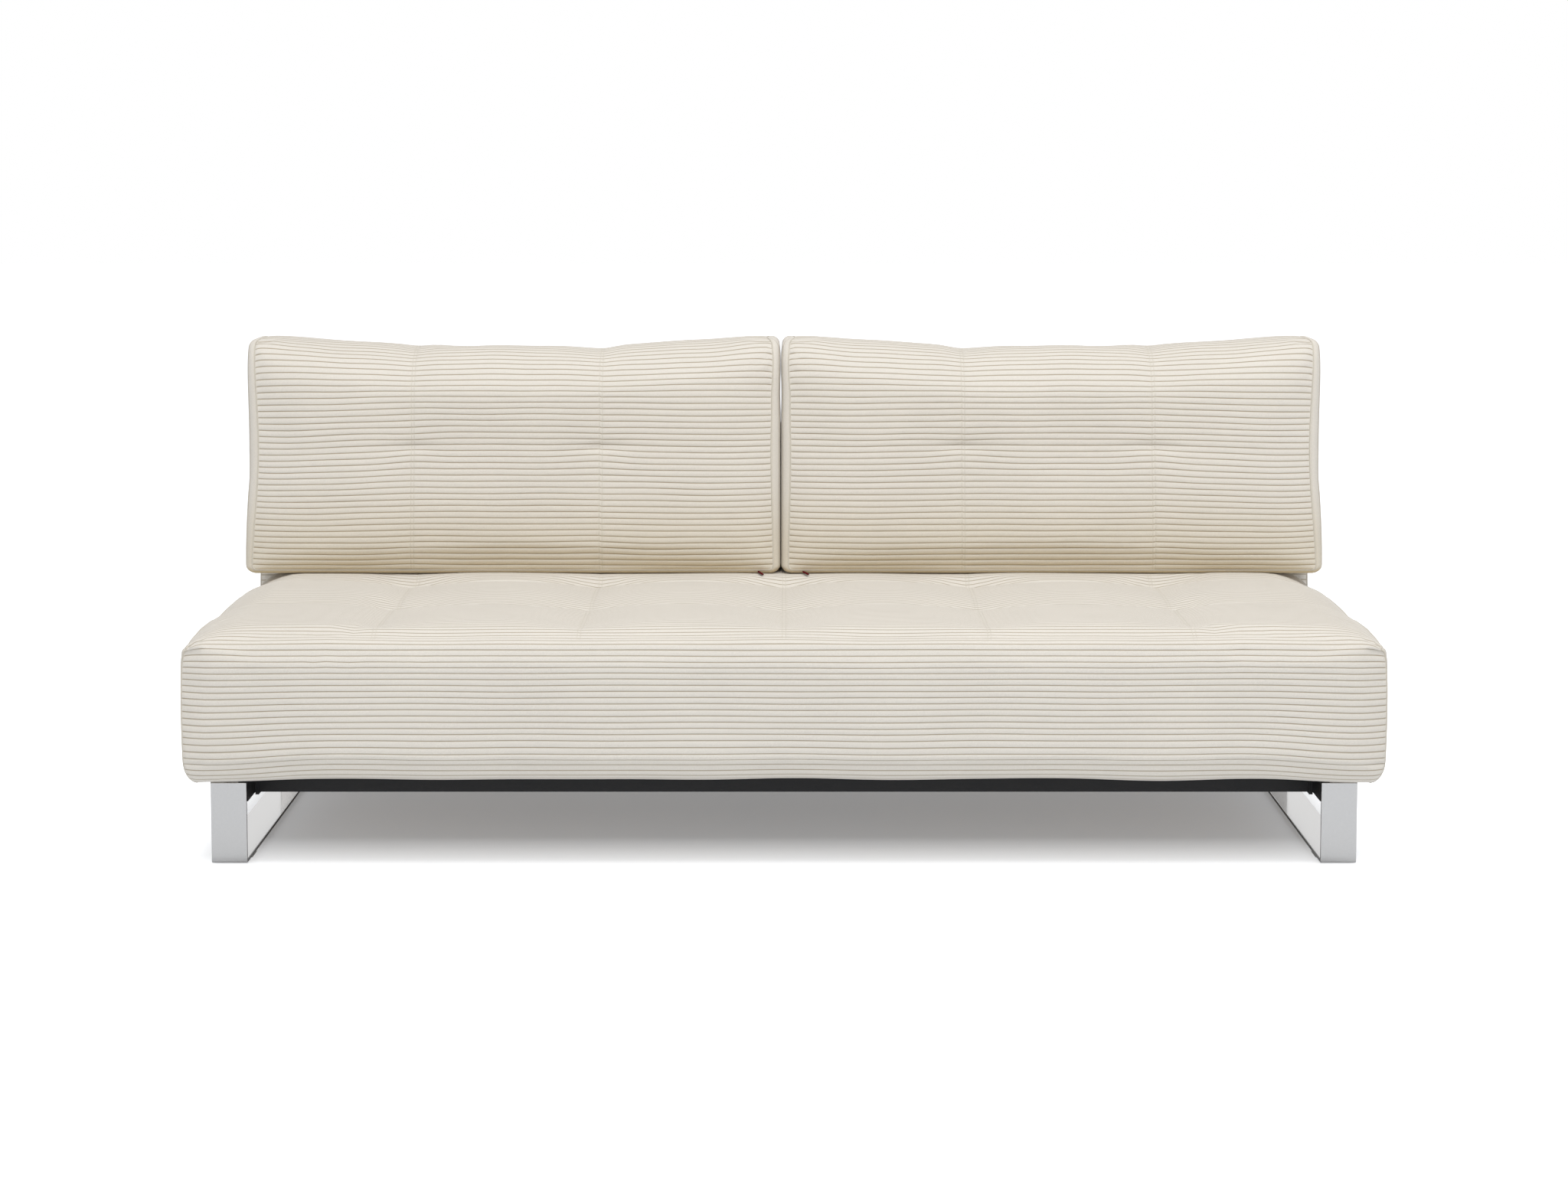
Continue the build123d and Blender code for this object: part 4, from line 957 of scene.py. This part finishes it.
def dress():
    """Materials on the CAD nodes, black steel where no other is named; all of them by slot."""
    finishes = {
        "chrome": plain("chrome", (0.510, 0.503, 0.496), 0.12, 1.0, 260.0, 0.02, 0.0),
        "black_steel": plain("black_steel", (0.014, 0.014, 0.015), 0.5, 0.0, 900.0, 0.10, 0.08,
                             Specular_IOR_Level=0.3),
        "zinc_steel": plain("zinc_steel", (0.60, 0.60, 0.58), 0.34, 1.0, 300.0, 0.06, 0.03),
        "beech": beech(),
        "black_plastic": plain("black_plastic", (0.028, 0.028, 0.029), 0.5, 0.0, 600.0, 0.08, 0.05),
        "clear_glide": plain("clear_glide", (0.72, 0.72, 0.70), 0.35, 0.0, 200.0, 0.04, 0.02),
        "zip_red": plain("zip_red", (0.085, 0.002, 0.005), 0.7, 0.0, 900.0, 0.10, 0.08,
                         Specular_IOR_Level=0.1),
        "lining": plain("lining", (0.030, 0.030, 0.031), 0.9, 0.0, 1200.0, 0.15, 0.15),
        "foam": plain("foam", (0.78, 0.72, 0.52), 0.9, 0.0, 500.0, 0.08, 0.2),
        "spring_pocket": plain("spring_pocket", (0.78, 0.78, 0.76), 0.9, 0.0, 700.0, 0.06, 0.1),
    }
    nodes_of = {
        "chrome": ("sled_left", "sled_right"),
        "zinc_steel": ("sled_bolts", "bracket_bolts", "hinge_plate_bolts", "back_plate_bolts",
                       "ratchet_drums", "hinge_pins", "link_lower_pins", "link_upper_pins", "rear_leg_pins"),
        "beech": ("seat_slats", "back_slats"),
        "black_plastic": ("side_rail_plugs", "seat_slat_holders", "back_slat_holders", "rear_leg_feet"),
        "clear_glide": ("glides",),
        "zip_red": ("cushion_left_zip_tab", "cushion_right_zip_tab"),
        "lining": ("seat_lining", "back_lining"),
        "foam": ("seat_base_foam", "seat_top_foam", "back_foam"),
        "spring_pocket": ("seat_pocket_springs",),
    }
    chosen = {node: slot for slot, nodes in nodes_of.items() for node in nodes}
    for name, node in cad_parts.items():
        material = finishes[chosen.get(name, "black_steel")]
        node.data.materials.clear()
        node.data.materials.append(material)
    return finishes


def stage():
    """White floor that glows for the camera as painted light, white surround, soft light from above and in
    front.
    """
    deselect()
    bpy.ops.mesh.primitive_plane_add(size=60, location=(0, 0, 0))
    floor = bpy.context.object
    floor.name = "floor"
    paper = new_material("floor_white", (0.885, 0.908, 0.940), 0.9, Specular_IOR_Level=0.0)
    shader = paper.node_tree.nodes["Principled BSDF"]
    shader.inputs["Emission Color"].default_value = (1, 1, 1, 1)
    # Painted light: the floor glows for the camera only, faintly beneath the sofa and more strongly beyond
    # its ends, front and rear, so the floor turns white past the edge of its shadow.
    coordinates = paper.node_tree.nodes.new("ShaderNodeTexCoord")
    parts = paper.node_tree.nodes.new("ShaderNodeSeparateXYZ")
    link(paper, coordinates.outputs["Object"], parts.inputs[0])
    aside = calculated(paper, "ABSOLUTE", parts.outputs["X"])
    clear = remapped(paper, aside, 0.90, 1.05, 0.0, 1.0)
    for near, far in ((-0.30, -0.58), (0.60, 0.90)):
        clear = calculated(paper, "MAXIMUM", clear, remapped(paper, parts.outputs["Y"], near, far, 0.0, 1.0))
    paths = paper.node_tree.nodes.new("ShaderNodeLightPath")
    glow = remapped(paper, clear, 0.0, 1.0, 0.23, 0.65)
    shown = calculated(paper, "MULTIPLY", glow, paths.outputs["Is Camera Ray"])
    link(paper, shown, shader.inputs["Emission Strength"])
    floor.data.materials.append(paper)

    world = bpy.data.worlds.new("surround")
    bpy.context.scene.world = world
    world.use_nodes = True
    background = world.node_tree.nodes["Background"]
    background.inputs["Color"].default_value = (1, 1, 1, 1)
    direction = add_node(world, "ShaderNodeTexCoord")
    parts = add_node(world, "ShaderNodeSeparateXYZ")
    link(world, direction.outputs["Generated"], parts.inputs[0])
    sideways = calculated(world, "ABSOLUTE", parts.outputs["X"])
    mirrored = remapped(world, sideways, 0.45, 0.9, 1.0, 0.2)
    paths = add_node(world, "ShaderNodeLightPath")
    seen = remapped(world, paths.outputs["Is Camera Ray"], 0.0, 1.0, 0.62, 1.0)
    strength = add_node(world, "ShaderNodeMix")
    for index, value in ((0, paths.outputs["Is Glossy Ray"]), (2, seen), (3, mirrored)):
        link(world, value, strength.inputs[index])
    link(world, strength.outputs[0], background.inputs["Strength"])

    for name, place, turn, size, power in (
        ("key", (0.6, -2.1, 5.1), (radians(22), 0, 0), (6.0, 3.0), 215),
        ("front", (-1.2, -8.5, 3.2), (radians(72), 0, radians(-8)), (6.0, 3.0), 100),
    ):
        deselect()
        bpy.ops.object.light_add(type="AREA", location=place, rotation=turn)
        lamp = bpy.context.object
        lamp.name = name
        lamp.data.shape = "RECTANGLE"
        lamp.data.size, lamp.data.size_y = size
        lamp.data.energy = power


CAMERA_PLACE = (0, -6.8103, 1.2098)
CAMERA_PITCH = 6.898
SENSOR_WIDTH = 36.0
FOCAL_LENGTH = 86.99


def camera():
    deselect()
    bpy.ops.object.camera_add(location=CAMERA_PLACE, rotation=(radians(90 - CAMERA_PITCH), 0, 0))
    eye = bpy.context.object
    eye.data.sensor_fit = "HORIZONTAL"
    eye.data.sensor_width = SENSOR_WIDTH
    eye.data.lens = FOCAL_LENGTH
    eye.data.dof.use_dof = False
    bpy.context.scene.camera = eye


camera()
soft = [seat_pad(), back_pad(), cushion(1), cushion(-1)]
fabric = corduroy()
for piece, fill in zip(soft, (0.9, 0.85, 0.7, 0.7)):
    piece.data.materials.clear()
    piece.data.materials.append(fabric)
finishes = dress()
for side in (1, -1):
    zip_pull(side, finishes["zip_red"])
stage()
bpy.context.scene.view_settings.view_transform = "Standard"
